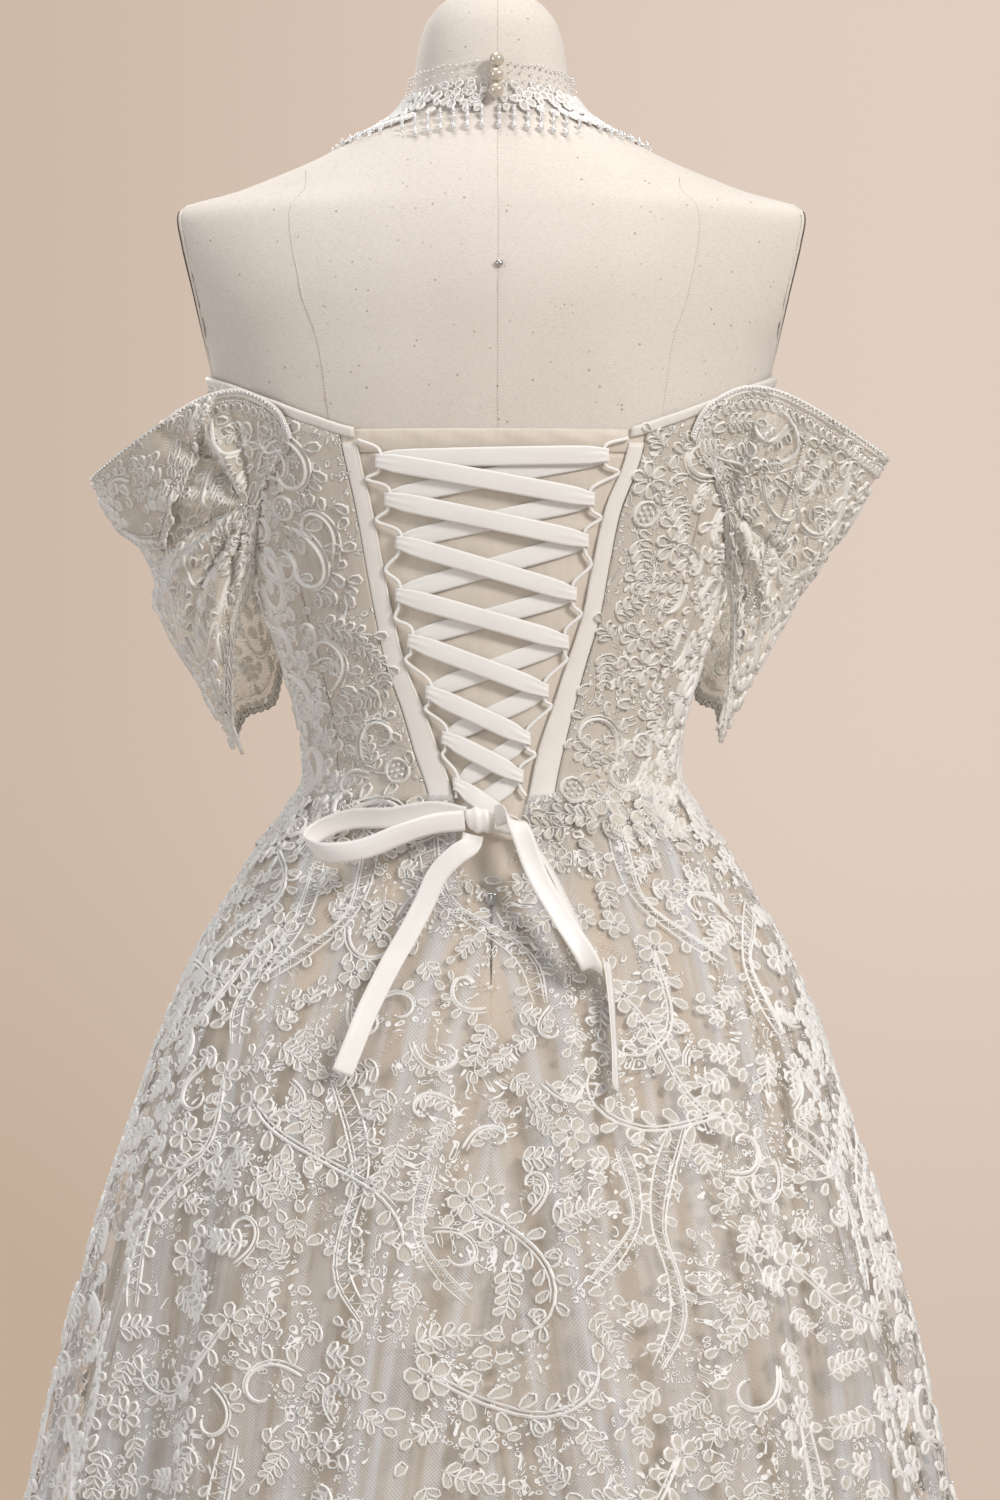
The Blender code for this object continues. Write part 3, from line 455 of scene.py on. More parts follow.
def add_lathe(build: Build, profile: Array, centre: Array, axis: Array, steps: int) -> None:
    """Adds a turned solid.

    Args:
        build: the piece that gets it.
        profile: (radius, distance along the axis) from its far end to its near end.
        centre: the axis's starting point.
        axis: the axis's direction.
        steps: corners of each ring.
    """
    axis = unit(np.asarray(axis, float))
    one, two = square_to(axis)
    turn = 2 * np.pi * np.arange(steps) / steps
    ring = np.cos(turn)[:, None] * one + np.sin(turn)[:, None] * two
    rows = np.array([np.asarray(centre) + ring * max(r, 0.01) + axis * z for r, z in profile])
    build.add(rows, grid_quads(len(profile), steps, 1.0, closed=True))


def add_tube(build: Build, line: Array, hints: Array, radius: float, sides: int = 8) -> None:
    """Adds a round cord along a line; the hints are directions off its way."""
    ways = unit(np.gradient(line, axis=0))
    one = unit(np.cross(ways, hints))
    two = np.cross(ways, one)
    turn = 2 * np.pi * np.arange(sides) / sides
    ring = np.cos(turn)[:, None, None] * one + np.sin(turn)[:, None, None] * two
    rows, cap = (line + ring * radius).transpose(1, 0, 2), fan(sides)
    caps = np.concatenate([cap[:, ::-1], cap + (len(line) - 1) * sides])
    build.add(rows, grid_quads(len(line), sides, -1.0, closed=True), caps)


# ------------------------------------------------------------------------------ finishes
class Tree:
    """A short way to add nodes to a node tree."""

    def __init__(self, tree: bpy.types.NodeTree) -> None:
        self.tree = tree

    def add(self, kind: str, inputs: Dict[str, object], out: object = 0, **own: object) -> Socket:
        """Adds a node.

        Args:
            kind: its type, without ShaderNode.
            inputs: by name or number, a value or a socket to link.
            out: the name or number of the output that is wanted.
            own: the node's own settings.

        Returns:
            That output.
        """
        node = self.tree.nodes.new("ShaderNode" + kind)
        for name, value in own.items():
            setattr(node, name, value)
        for name, value in inputs.items():
            socket = node.inputs[int(name) if name.isdigit() else name]
            if isinstance(value, Socket):
                self.tree.links.new(value, socket)
            else:
                socket.default_value = value
        return node.outputs[out] if len(node.outputs) else None

    def ramp(self, value: Socket, spans: Sequence[float], **own: object) -> Socket:
        """A value moved from the first two numbers' range to the last two's, and kept inside."""
        names = ("From Min", "From Max", "To Min", "To Max")
        return self.add("MapRange", {"Value": value, **dict(zip(names, spans))}, "Result", **own)

    def math(self, kind: str, *terms: object, clamp: bool = True) -> Socket:
        """The result of one sum."""
        numbered = {str(k): term for k, term in enumerate(terms)}
        return self.add("Math", numbered, operation=kind, use_clamp=clamp)

    def mix(self, share: Socket, first: object, second: object) -> Socket:
        """Two colours, each a colour or a socket, mixed by a share."""
        one, two = ((*c, 1.0) if isinstance(c, tuple) else c for c in (first, second))
        return self.add("MixRGB", {"0": share, "1": one, "2": two}, "Color")


class Look(Tree):
    """A new material and the patterns that the finishes share."""

    def __init__(self, name: str, **shine: float) -> None:
        """Args: its name, and values of the shader's own sockets, with _ for a space."""
        self.material = bpy.data.materials.new(name)
        self.material.use_nodes = True
        super().__init__(self.material.node_tree)
        self.shader = self.tree.nodes["Principled BSDF"]
        for socket, value in shine.items():
            self.shader.inputs[socket.replace("_", " ")].default_value = value

    def join(self, out: Socket, into: str = "Base Color") -> None:
        """Links a socket to one of the shader's."""
        self.tree.links.new(out, self.shader.inputs[into])

    def place(
        self, flat: bool = False, scale: Colour = (1.0, 1.0, 1.0), turn: float = 0.0
    ) -> Socket:
        """Where a point is, on the flat cloth or in space, in metres times a scale."""
        where = self.add("TexCoord", {}, "UV" if flat else "Object")
        turned = (0.0, 0.0, math.radians(turn))
        return self.add("Mapping", {"Vector": where, "Scale": scale, "Rotation": turned}, "Vector")

    def noise(self, where: Socket, scale: float, detail: float = 3.0, out: str = "Fac") -> Socket:
        """A soft random value."""
        return self.add("TexNoise", {"Vector": where, "Scale": scale, "Detail": detail}, out)

    def bump(self, height: Socket, strength: float, distance: float) -> None:
        """Fine relief on the shader's normal."""
        inputs = {"Height": height, "Strength": strength, "Distance": distance}
        self.join(self.add("Bump", inputs, "Normal"), "Normal")

    def lacework(self, scale: float, much: float) -> Socket:
        """Fine flat lace between the raised motifs: small looped leaves, in patches.

        Args:
            scale: how many leaves lie along a metre.
            much: the share of the cloth that they cover.

        Returns:
            1 on a cord and 0 beside it.
        """
        where = self.place()
        bend = self.noise(where, 42.0, 1.0, "Color")
        moved = self.add("VectorMath", {"0": bend, "1": (0.05, 0.05, 0.05), "2": where}, "Vector",
                         operation="MULTIPLY_ADD")
        away = self.add("TexVoronoi", {"Vector": moved, "Scale": scale}, "Distance")
        outside = self.ramp(away, (0.20, 0.28, 0.0, 1.0))
        ring = self.math("MULTIPLY", outside, self.ramp(away, (0.40, 0.48, 1.0, 0.0)))
        cords = self.math("MAXIMUM", ring, self.ramp(away, (0.05, 0.11, 1.0, 0.0)))
        edge = 0.62 - 0.24 * much
        patches = self.ramp(self.noise(where, 26.0, 2.5), (edge, edge + 0.04, 0.0, 1.0))
        return self.math("MULTIPLY", cords, patches)


@dataclass(frozen=True)
class Satin:
    """Woven satin: a soft sheen, a fine weave and faint streaks along the thread."""

    name: str
    colour: Colour
    shade: Colour
    roughness: float = 0.38
    sheen: float = 0.3
    lace: Optional[Colour] = None
    weave: float = 0.25

    def material(self) -> bpy.types.Material:
        """Makes the material."""
        look = Look(self.name, Roughness=self.roughness, Specular_IOR_Level=0.42,
                    Sheen_Weight=self.sheen, Sheen_Roughness=0.35)
        streak = look.noise(look.place(True, (260.0, 22.0, 1.0)), 1.0)
        cloud = look.noise(look.place(False, (9.0, 9.0, 9.0)), 1.0)
        share = look.ramp(look.math("MULTIPLY_ADD", streak, cloud, 0.12, clamp=False),
                          (0.2, 0.6, 0.0, 1.0))
        ground = look.mix(share, self.colour, self.shade)
        if self.lace:
            cords = look.lacework(190.0, 0.8)
            look.join(look.mix(cords, ground, self.lace))
            look.bump(cords, 1.0, 0.0011)
            return look.material
        look.join(ground)
        where = look.place(True, turn=45.0)
        threads = look.add("TexWave", {"Vector": where, "Scale": 900.0, "Distortion": 0.4}, "Fac")
        look.bump(threads, self.weave, 0.00012)
        return look.material


@dataclass(frozen=True)
class Net:
    """Sheer net or tulle: holes between fine threads, thicker where the cloth doubles."""

    name: str
    colour: Colour
    cool: Colour
    opacity: float
    threads: float
    streaks: float
    mesh: float
    lace: Colour
    much: float

    def material(self) -> bpy.types.Material:
        """Makes the material."""
        look = Look(self.name, Roughness=0.6, Specular_IOR_Level=0.25, Sheen_Weight=0.25)
        where = look.place(True, turn=45.0)
        cells = look.add("TexVoronoi", {"Vector": where, "Scale": self.mesh, "Randomness": 0.12},
                         "Distance", feature="DISTANCE_TO_EDGE")
        thread = look.ramp(cells, (0.04, 0.22, self.threads, 0.0))
        long_folds = look.noise(look.place(True, (58.0, 1.3, 1.0)), 1.0, 4.0)
        doubled = look.ramp(long_folds, (0.42, 0.72, -0.3 * self.streaks, self.streaks))
        sheer = look.math("ADD", look.math("ADD", thread, doubled, clamp=False), self.opacity)
        cords = look.lacework(165.0, self.much)
        look.join(look.math("MAXIMUM", sheer, look.math("MULTIPLY", cords, 0.95)), "Alpha")
        ground = look.mix(look.ramp(long_folds, (0.40, 0.60, 0.0, 1.0)), self.colour, self.cool)
        look.join(look.mix(cords, ground, self.lace))
        look.bump(cords, 0.9, 0.0008)
        return look.material


@dataclass(frozen=True)
class Thread:
    """Corded lace thread, matt with a fine twist, or the rows of stitches between cords."""

    name: str
    colour: Colour
    shade: Colour
    stitched: bool = False

    def material(self) -> bpy.types.Material:
        """Makes the material."""
        look = Look(self.name, Roughness=0.52, Specular_IOR_Level=0.35, Sheen_Weight=0.35,
                    Sheen_Roughness=0.4)
        where = look.place()
        share = look.ramp(look.noise(where, 60.0), (0.3, 0.7, 0.0, 1.0))
        if self.stitched:
            rows = look.add("TexWave", {"Vector": where, "Scale": 330.0, "Distortion": 5.0}, "Fac")
            share = look.math("MULTIPLY", rows, share, clamp=False)
        look.join(look.mix(share, self.colour, self.shade))
        if self.stitched:
            look.bump(rows, 0.5, 0.0004)
        else:
            look.bump(look.noise(where, 2600.0, 1.0), 0.35, 0.0002)
        return look.material


@dataclass(frozen=True)
class Linen:
    """The form's stretched linen cover: a plain weave with darker flecks."""

    name: str
    colour: Colour
    shade: Colour
    fleck: Colour

    def material(self) -> bpy.types.Material:
        """Makes the material."""
        look = Look(self.name, Roughness=0.86, Specular_IOR_Level=0.2, Sheen_Weight=0.15)
        where = look.place()
        cloud = look.ramp(look.noise(where, 7.0), (0.35, 0.65, 0.0, 1.0))
        ground = look.mix(cloud, self.colour, self.shade)
        slub = look.noise(look.place(False, (420.0, 420.0, 2100.0)), 1.0, 2.0)
        slubs = look.ramp(slub, (0.45, 0.75, 0.0, 0.22))
        cells = look.add("TexVoronoi", {"Vector": where, "Scale": 170.0}, "Distance")
        dots = look.ramp(cells, (0.1, 0.17, 0.62, 0.0))
        few = look.ramp(look.noise(where, 90.0, 1.0), (0.52, 0.62, 0.0, 1.0))
        flecks = look.math("MULTIPLY", dots, few, clamp=False)
        marks = look.math("ADD", flecks, slubs, clamp=False)
        look.join(look.mix(marks, ground, self.fleck))
        weave = look.add("TexVoronoi", {"Vector": where, "Scale": 1500.0}, "Distance")
        look.bump(weave, 0.25, 0.0003)
        return look.material


@dataclass(frozen=True)
class Lustre:
    """Pearl, crystal or metal: a hard bright surface, faintly uneven."""

    name: str
    colour: Colour
    shade: Colour
    roughness: float
    metallic: float = 0.0
    coat: float = 0.0

    def material(self) -> bpy.types.Material:
        """Makes the material."""
        look = Look(self.name, Roughness=self.roughness, Metallic=self.metallic,
                    Coat_Weight=self.coat, Coat_Roughness=0.08, Specular_IOR_Level=0.6)
        where = look.place()
        look.join(look.mix(look.noise(where, 140.0), self.colour, self.shade))
        look.bump(look.noise(where, 900.0, 1.0), 0.08, 0.0002)
        return look.material


class Wardrobe:
    """Every finish, made once, by name."""

    FINISHES = {
        "ivory": Satin("ivory_satin_ribbon", (0.93, 0.91, 0.88), (0.88, 0.85, 0.81), 0.34, 0.35),
        "band": Satin("bodice_band_satin", (0.88, 0.84, 0.79), (0.82, 0.78, 0.72), 0.46, 0.2),
        "cream": Satin("modesty_satin", (0.76, 0.69, 0.60), (0.69, 0.61, 0.52), 0.40, 0.3),
        "under": Satin("bodice_under_satin", (0.62, 0.56, 0.49), (0.52, 0.46, 0.39), 0.5, 0.2,
                       (0.88, 0.85, 0.80)),
        "lining": Satin("skirt_lining_satin", (0.66, 0.56, 0.46), (0.59, 0.50, 0.41), 0.6, 0.1),
        "tulle": Net("skirt_tulle", (0.80, 0.73, 0.64), (0.74, 0.75, 0.77), 0.24, 0.28, 0.46,
                     640.0, (0.93, 0.92, 0.90), 0.72),
        "net": Net("sleeve_net", (0.70, 0.63, 0.54), (0.74, 0.68, 0.60), 0.58, 0.3, 0.1,
                   700.0, (0.90, 0.87, 0.82), 0.8),
        "net_collar": Net("collar_net", (0.78, 0.75, 0.71), (0.86, 0.84, 0.82), 0.03, 0.08, 0.02,
                          560.0, (0.93, 0.92, 0.90), -0.6),
        "cord": Thread("lace_cord", (0.97, 0.96, 0.94), (0.92, 0.90, 0.87)),
        "cord_fill": Thread("lace_fill", (0.66, 0.61, 0.55), (0.48, 0.43, 0.37), True),
        "cord_bodice": Thread("bodice_lace_cord", (0.96, 0.94, 0.90), (0.86, 0.82, 0.77)),
        "cord_bodice_fill": Thread("bodice_lace_fill", (0.74, 0.69, 0.62), (0.50, 0.45, 0.38),
                                   True),
        "cord_sleeve": Thread("sleeve_lace_cord", (0.97, 0.95, 0.91), (0.88, 0.85, 0.80)),
        "cord_sleeve_fill": Thread("sleeve_lace_fill", (0.70, 0.65, 0.58), (0.46, 0.41, 0.35),
                                   True),
        "linen": Linen("form_linen", (0.79, 0.73, 0.67), (0.73, 0.67, 0.61), (0.30, 0.24, 0.19)),
        "seam": Linen("form_seam_thread", (0.46, 0.39, 0.33), (0.36, 0.30, 0.25),
                      (0.2, 0.16, 0.12)),
        # The arm plates' near-black edge is painted shade along their borders.
        "edge": Linen("arm_plate_painted_shade", (0.10, 0.08, 0.06), (0.16, 0.12, 0.09),
                      (0.05, 0.04, 0.03)),
        "pearl": Lustre("pearl", (0.72, 0.65, 0.54), (0.60, 0.52, 0.41), 0.12, 0.3, 1.0),
        "bead": Lustre("seed_bead", (0.88, 0.86, 0.84), (0.70, 0.68, 0.66), 0.12, 0.15, 1.0),
        "crystal": Lustre("crystal", (0.96, 0.96, 0.96), (0.72, 0.71, 0.71), 0.08, 0.3, 1.0),
        "metal": Lustre("small_metal", (0.60, 0.58, 0.56), (0.42, 0.41, 0.40), 0.28, 1.0),
        "stand": Lustre("stand_paint", (0.74, 0.70, 0.65), (0.68, 0.64, 0.59), 0.38, 0.0, 0.3),
    }

    def __init__(self) -> None:
        self.made: Dict[str, bpy.types.Material] = {}

    def get(self, name: str) -> bpy.types.Material:
        """The material of a finish."""
        if name not in self.made:
            self.made[name] = self.FINISHES[name].material()
        return self.made[name]


WARDROBE = Wardrobe()


def show(
    name: str, build: Build, finish: str, replaces: Iterable[str] = (),
    wall: float = 0.0,
) -> Piece:
    """Makes a piece, dresses it and rides it on the frame.

    Args:
        name: the piece's name.
        build: its points and faces.
        finish: the finish's name.
        replaces: the CAD nodes that it stands for.
        wall: the cloth's thickness, or 0 for a single layer.

    Returns:
        The piece.
    """
    mesh = bpy.data.meshes.new(name)
    mesh.materials.append(WARDROBE.get(finish))
    if build.filled:
        mesh.materials.append(WARDROBE.get(finish + "_fill"))
    build.fill(mesh)
    piece = bpy.data.objects.new(name, mesh)
    bpy.context.scene.collection.objects.link(piece)
    if wall:
        solidify = piece.modifiers.new("thickness", "SOLIDIFY")
        solidify.thickness = wall * MM
        solidify.offset = 0.0
    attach(piece, "root")
    if replaces:
        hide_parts(*replaces)
    LOG.info("%s: %d triangles", name, build.triangles * (2 if wall else 1))
    return piece


def show_lace(name: str, sewn: Tuple[Build, Build], finish: str) -> List[Piece]:
    """Makes the two pieces of a cloth's lace, its cord and its beads."""
    cord, beads = sewn
    return [show("lace_" + name, cord, finish),
            show("beads_" + name, beads, "bead")]


def declare(
    drape: Drape,
) -> None:
    """Works out the flat cut of a cloth piece, its width, length and area, and does nothing more
    with them.
    """
    width, length, area = drape.sizes()


def show_cloth(
    name: str, drape: Drape, finish: str, node: str = "",
    wall: float = 0.0, sewn: Sequence[Piece] = (),
) -> None:
    """Shows a cloth and says how it was cut and is held.

    Args:
        name: the piece's name.
        drape: its surface.
        finish: the finish's name.
        node: the CAD node that it stands for, if any.
        wall: its thickness, or 0 for a single layer.
        sewn: the pieces sewn to it; not used.
    """
    piece = show(name, drape.build(), finish, [node] if node else [], wall)
    declare(drape)


# ------------------------------------------------------------------------ lace and motifs
@dataclass
class Stroke:
    """One line of cord in a motif, in millimetres; a closed one is filled with stitches."""

    points: Array
    closed: bool = False
    half: float = 0.6
    rise: float = 0.95


@dataclass(eq=False)
class Motif:
    """A lace motif: its cords and its beads (x, y, radius)."""

    strokes: List[Stroke] = field(default_factory=list)
    beads: List[Tuple[float, float, float]] = field(default_factory=list)

    def add(self, other: "Motif", at: Sequence[float], turn: float) -> None:
        """Adds another motif, moved to a place and turned by radians."""
        c, s = math.cos(turn), math.sin(turn)
        for stroke in other.strokes:
            points = stroke.points @ np.array([[c, s], [-s, c]]) + at
            self.strokes.append(Stroke(points, stroke.closed, stroke.half, stroke.rise))
        for x, y, radius in other.beads:
            self.beads.append((at[0] + c * x - s * y, at[1] + s * x + c * y, radius))

    def arrays(self) -> Tuple[Array, ...]:
        """All points, the numbers of those before and after each, half widths and rises."""
        rows, start = [], 0
        for stroke in self.strokes:
            before, after, ends = neighbours(len(stroke.points), stroke.closed)
            taper = np.where(ends, 0.45, 1.0)
            rows.append((stroke.points, start + before, start + after, stroke.half * taper,
                         stroke.rise * taper))
            start += len(before)
        return tuple(np.concatenate(column) for column in zip(*rows))

    def fans(self) -> Tuple[Array, Array]:
        """The fillings: middles of the closed strokes, and (middle, point, next) corners."""
        middles, corners, start = np.zeros((0, 2)), np.zeros((0, 3), int), 0
        for stroke in self.strokes:
            count = len(stroke.points)
            if stroke.closed:
                k = np.arange(count)
                corner = cols(len(middles), start + k, start + (k + 1) % count)
                corners = np.concatenate([corners, corner])
                middles = np.concatenate([middles, stroke.points.mean(axis=0)[None]])
            start += count
        return middles, corners

    @cached_property
    def footprint(self) -> Array:
        """Points that cover the motif, for keeping others off it."""
        spacing, found = 1.5, []
        for stroke in self.strokes:
            line = stroke.points
            if stroke.closed:
                line = np.concatenate([line, line[:1], line.mean(axis=0)[None]])
            gaps = np.linalg.norm(np.diff(line, axis=0), axis=1)
            for a, b, gap in zip(line, line[1:], gaps):
                steps = max(int(gap / spacing), 1)
                found += [a + (b - a) * k / steps for k in range(steps)]
            found.append(line[-1])
        return np.array(found + [np.array(bead[:2]) for bead in self.beads])

    @property
    def triangles(self) -> int:
        """How many triangles one copy takes."""
        lines = sum(len(s.points) - (0 if s.closed else 1) for s in self.strokes)
        inside = sum(len(s.points) for s in self.strokes if s.closed)
        return 4 * lines + inside + 18 * len(self.beads)


class Motifs:
    """The lace's vocabulary: leaves, sprays, flowers, scrolls, vines and bands.

    Each stands with its foot at the origin and grows towards +y, in millimetres.
    """

    @staticmethod
    def leaf(length: float, width: float, corners: int = 7, half: float = 0.68) -> Motif:
        """A looped leaf, with a vein if it is long."""
        t = 2 * np.pi * (np.arange(corners) + 0.5) / corners
        x = width / 2 * np.sin(t) * (1 - 0.35 * np.cos(t))
        y = length * (1 - np.cos(t)) / 2
        leaf = Motif([Stroke(cols(x, y), True, half, 1.15)])
        if length > 7.5:
            vein = np.array([[0.0, 0.2 * length], [0.0, 0.76 * length]])
            leaf.strokes.append(Stroke(vein, False, 0.45, 1.0))
        return leaf

    @staticmethod
    def spray(pairs: int, leaf: float, bend: float) -> Motif:
        """A curved stem with pairs of leaves that get smaller towards its tip."""
        spray = Motif()
        length = leaf * (0.74 * pairs + 0.4)
        share = np.linspace(0, 1, pairs + 2)
        spray.strokes.append(Stroke(cols(bend * share**2, length * share), False, 0.5, 0.7))
        for k in range(pairs):
            at = share[k + 1] - 0.5 / (pairs + 1)
            lean = math.atan2(2 * bend * at, length)
            size = 1.0 - 0.32 * at
            for side in (1.0, -1.0):
                turn = side * math.radians(56.0 - 14.0 * at) - lean
                each = Motifs.leaf(leaf * size, leaf * size * 0.47)
                spray.add(each, (bend * at**2, length * at), turn)
        tip = -math.atan2(2 * bend, length)
        spray.add(Motifs.leaf(leaf * 0.8, leaf * 0.5), (bend, length), tip)
        return spray

    @staticmethod
    def feather(length: float, width: float) -> Motif:
        """A long curved point with a vein and short barbs."""
        share = np.linspace(0.0, 1.0, 12)
        bend, up = width * 0.5 * np.sin(share * 2.6), length * share
        wide = width / 2 * (1 - share**2) * (1 + 0.16 * np.cos(share * 38.0))
        rim = np.concatenate([cols(bend + wide, up), cols(bend - wide, up)[:0:-1]])
        return Motif([Stroke(rim, True, 0.8, 1.1), Stroke(cols(bend, up)[:-1], False, 0.7, 1.0)])

    @staticmethod
    def flower(petals: int, petal: float, beads: int) -> Motif:
        """Looped petals round a beaded eye."""
        flower = Motif()
        eye = 0.24 * petal
        for k in range(petals):
            turn = 2 * math.pi * k / petals
            foot = (-math.sin(turn) * eye, math.cos(turn) * eye)
            flower.add(Motifs.leaf(petal, petal * 3.7 / petals, 8), foot, turn)
        flower.beads.append((0.0, 0.0, 0.9))
        for k in range(beads):
            turn = 2 * math.pi * k / beads
            flower.beads.append((math.cos(turn) * eye * 1.5, math.sin(turn) * eye * 1.5, 0.7))
        return flower

    @staticmethod
    def cluster(radius: float) -> Motif:
        """A ring of pearls round one, in a corded ring."""
        turn = np.linspace(0.0, 2 * np.pi, 12, endpoint=False)
        ring = cols(np.sin(turn), np.cos(turn))
        cluster = Motif([Stroke(ring * (radius + 1.4), True, 0.9, 1.3)], [(0.0, 0.0, 1.3)])
        cluster.beads += [(x * radius * 0.66, y * radius * 0.66, 1.25) for x, y in ring[::2]]
        return cluster

    @staticmethod
    def curl(length: float, start: float, end: float, count: int) -> Array:
        """A line of count points whose bend changes evenly from one rate to another."""
        share = np.linspace(0, 1, count)
        heading = start * share + (end - start) * share**2 / 2
        ways = cols(np.sin(heading), np.cos(heading)) * (length / (count - 1))
        return np.concatenate([[[0.0, 0.0]], np.cumsum((ways[1:] + ways[:-1]) / 2, axis=0)])

    @staticmethod
    def scroll(length: float, tight: float, thick: float, leaves: int) -> Motif:
        """A scroll with a spiral end, a second cord beside it and leaves on its outside."""
        scroll = Motif()
        line = Motifs.curl(length, 0.6, tight, 17)
        ways, aside = aside_of(line)
        fade = np.linspace(1.0, 0.25, len(line))[:, None]
        scroll.strokes.append(Stroke(line, False, thick, thick * 1.3))
        scroll.strokes.append(Stroke(line[:13] - aside[:13] * fade[:13] * thick * 3.2, False, 0.6))
        for k in range(leaves):
            i = 2 + 3 * k
            turn = -math.atan2(*ways[i]) + math.radians(58.0)
            size = length * (0.17 - 0.015 * k)
            scroll.add(Motifs.leaf(size, size * 0.55), line[i] - aside[i] * thick * 3.0, turn)
        scroll.beads.append((*line[-1], 1.1))
        return scroll

    @staticmethod
    def vine(length: float, start: float, end: float, leaf: float) -> Motif:
        """A long curved double stem with leaves down both sides and a flower at its foot."""
        vine = Motif()
        line = Motifs.curl(length, start, end, int(length / 6.5) + 1)
        ways, aside = aside_of(line)
        vine.strokes.append(Stroke(line, False, 0.9, 1.3))
        vine.strokes.append(Stroke(line[:-3] + aside[:-3] * 2.6, False, 0.6, 0.9))
        for k in range(2, len(line) - 1):
            side, heading = 1.0 if k % 2 else -1.0, math.atan2(*ways[k])
            size = leaf * (1.15 - 0.4 * (k / len(line)))
            foot = line[k] - aside[k] * (1.2 if side > 0 else -3.4)
            vine.add(Motifs.leaf(size, size * 0.52), foot, side * 0.95 - heading)
            if k % 5 == 3:
                hook = Motifs.curl(20.0, 3.0 * side, 8.0 * side, 9)
                vine.add(Motif([Stroke(hook, False, 0.8, 1.2)]), line[k], -side * 0.9 - heading)
        vine.add(Motifs.leaf(leaf, leaf * 0.55), line[-1], -math.atan2(*ways[-1]))
        vine.add(Motifs.flower(5, leaf * 0.95, 5), (0.0, 0.0), 0.3)
        return vine

    @staticmethod
    def band(route: Sequence[Sequence[float]], width: float, bars: float) -> Motif:
        """Two cords laced together by a third, with small leaves outside and beads inside.

        Args:
            route: places along its middle.
            width: how wide it is at its foot.
            bars: the gap between the lacing's turns.

        Returns:
            The motif.
        """
        band = Motif()
        line = rounded(route, 3 * len(route))
        ways, aside = aside_of(line)
        share = np.linspace(0, 1, len(line))[:, None]
        spread = width / 2 * (0.75 + 0.2 * np.sin(share * 9.0)) * (1 - 0.45 * share**3)
        for side, half in ((1.0, 0.62), (0.6, 0.42), (-1.0, 0.6)):
            band.strokes.append(Stroke(line + side * aside * spread, False, half, 1.3 * half))
        gone = travelled(line)
        stops = np.arange(bars, gone[-1] - bars, bars)
        rows = read_along(stops, gone, np.concatenate([line, ways, aside * spread], axis=1))
        swing = np.where(np.arange(len(rows)) % 2, 0.92, -0.92)[:, None]
        band.strokes.append(Stroke(rows[:, :2] + rows[:, 4:] * swing, False, 0.42, 0.6))
        for k, row in enumerate(rows[2:-2:3]):
            side = 1.0 if k % 2 else -1.0
            turn = side * 0.85 - math.atan2(*row[2:4])
            band.add(Motifs.leaf(6.8, 4.1), row[:2] - side * row[4:], turn)
            band.beads.append((*row[:2], 0.8))
        return band

    @staticmethod
    def dots(length: float, bend: float, gap: float, radius: float) -> Motif:
        """A curved row of tiny beads."""
        dots = Motif([Stroke(np.array([[0.0, -0.6], [0.0, 0.6]]), False, 0.2, 0.2)])
        for at in np.arange(0.0, 1.0, gap / length):
            dots.beads.append((bend * at * at, length * at, radius))
        return dots


@dataclass
class Sowing:
    """Kinds of motif and how they are strewn over a cloth.

    Crowd is the share of a motif that may lie on others, and flow is how far, in radians, it
    may turn from the way that the lace runs.
    """

    motifs: List[Motif]
    tries: int
    crowd: float = 0.06
    flow: float = math.pi
    sizes: Tuple[float, float] = (0.9, 1.15)


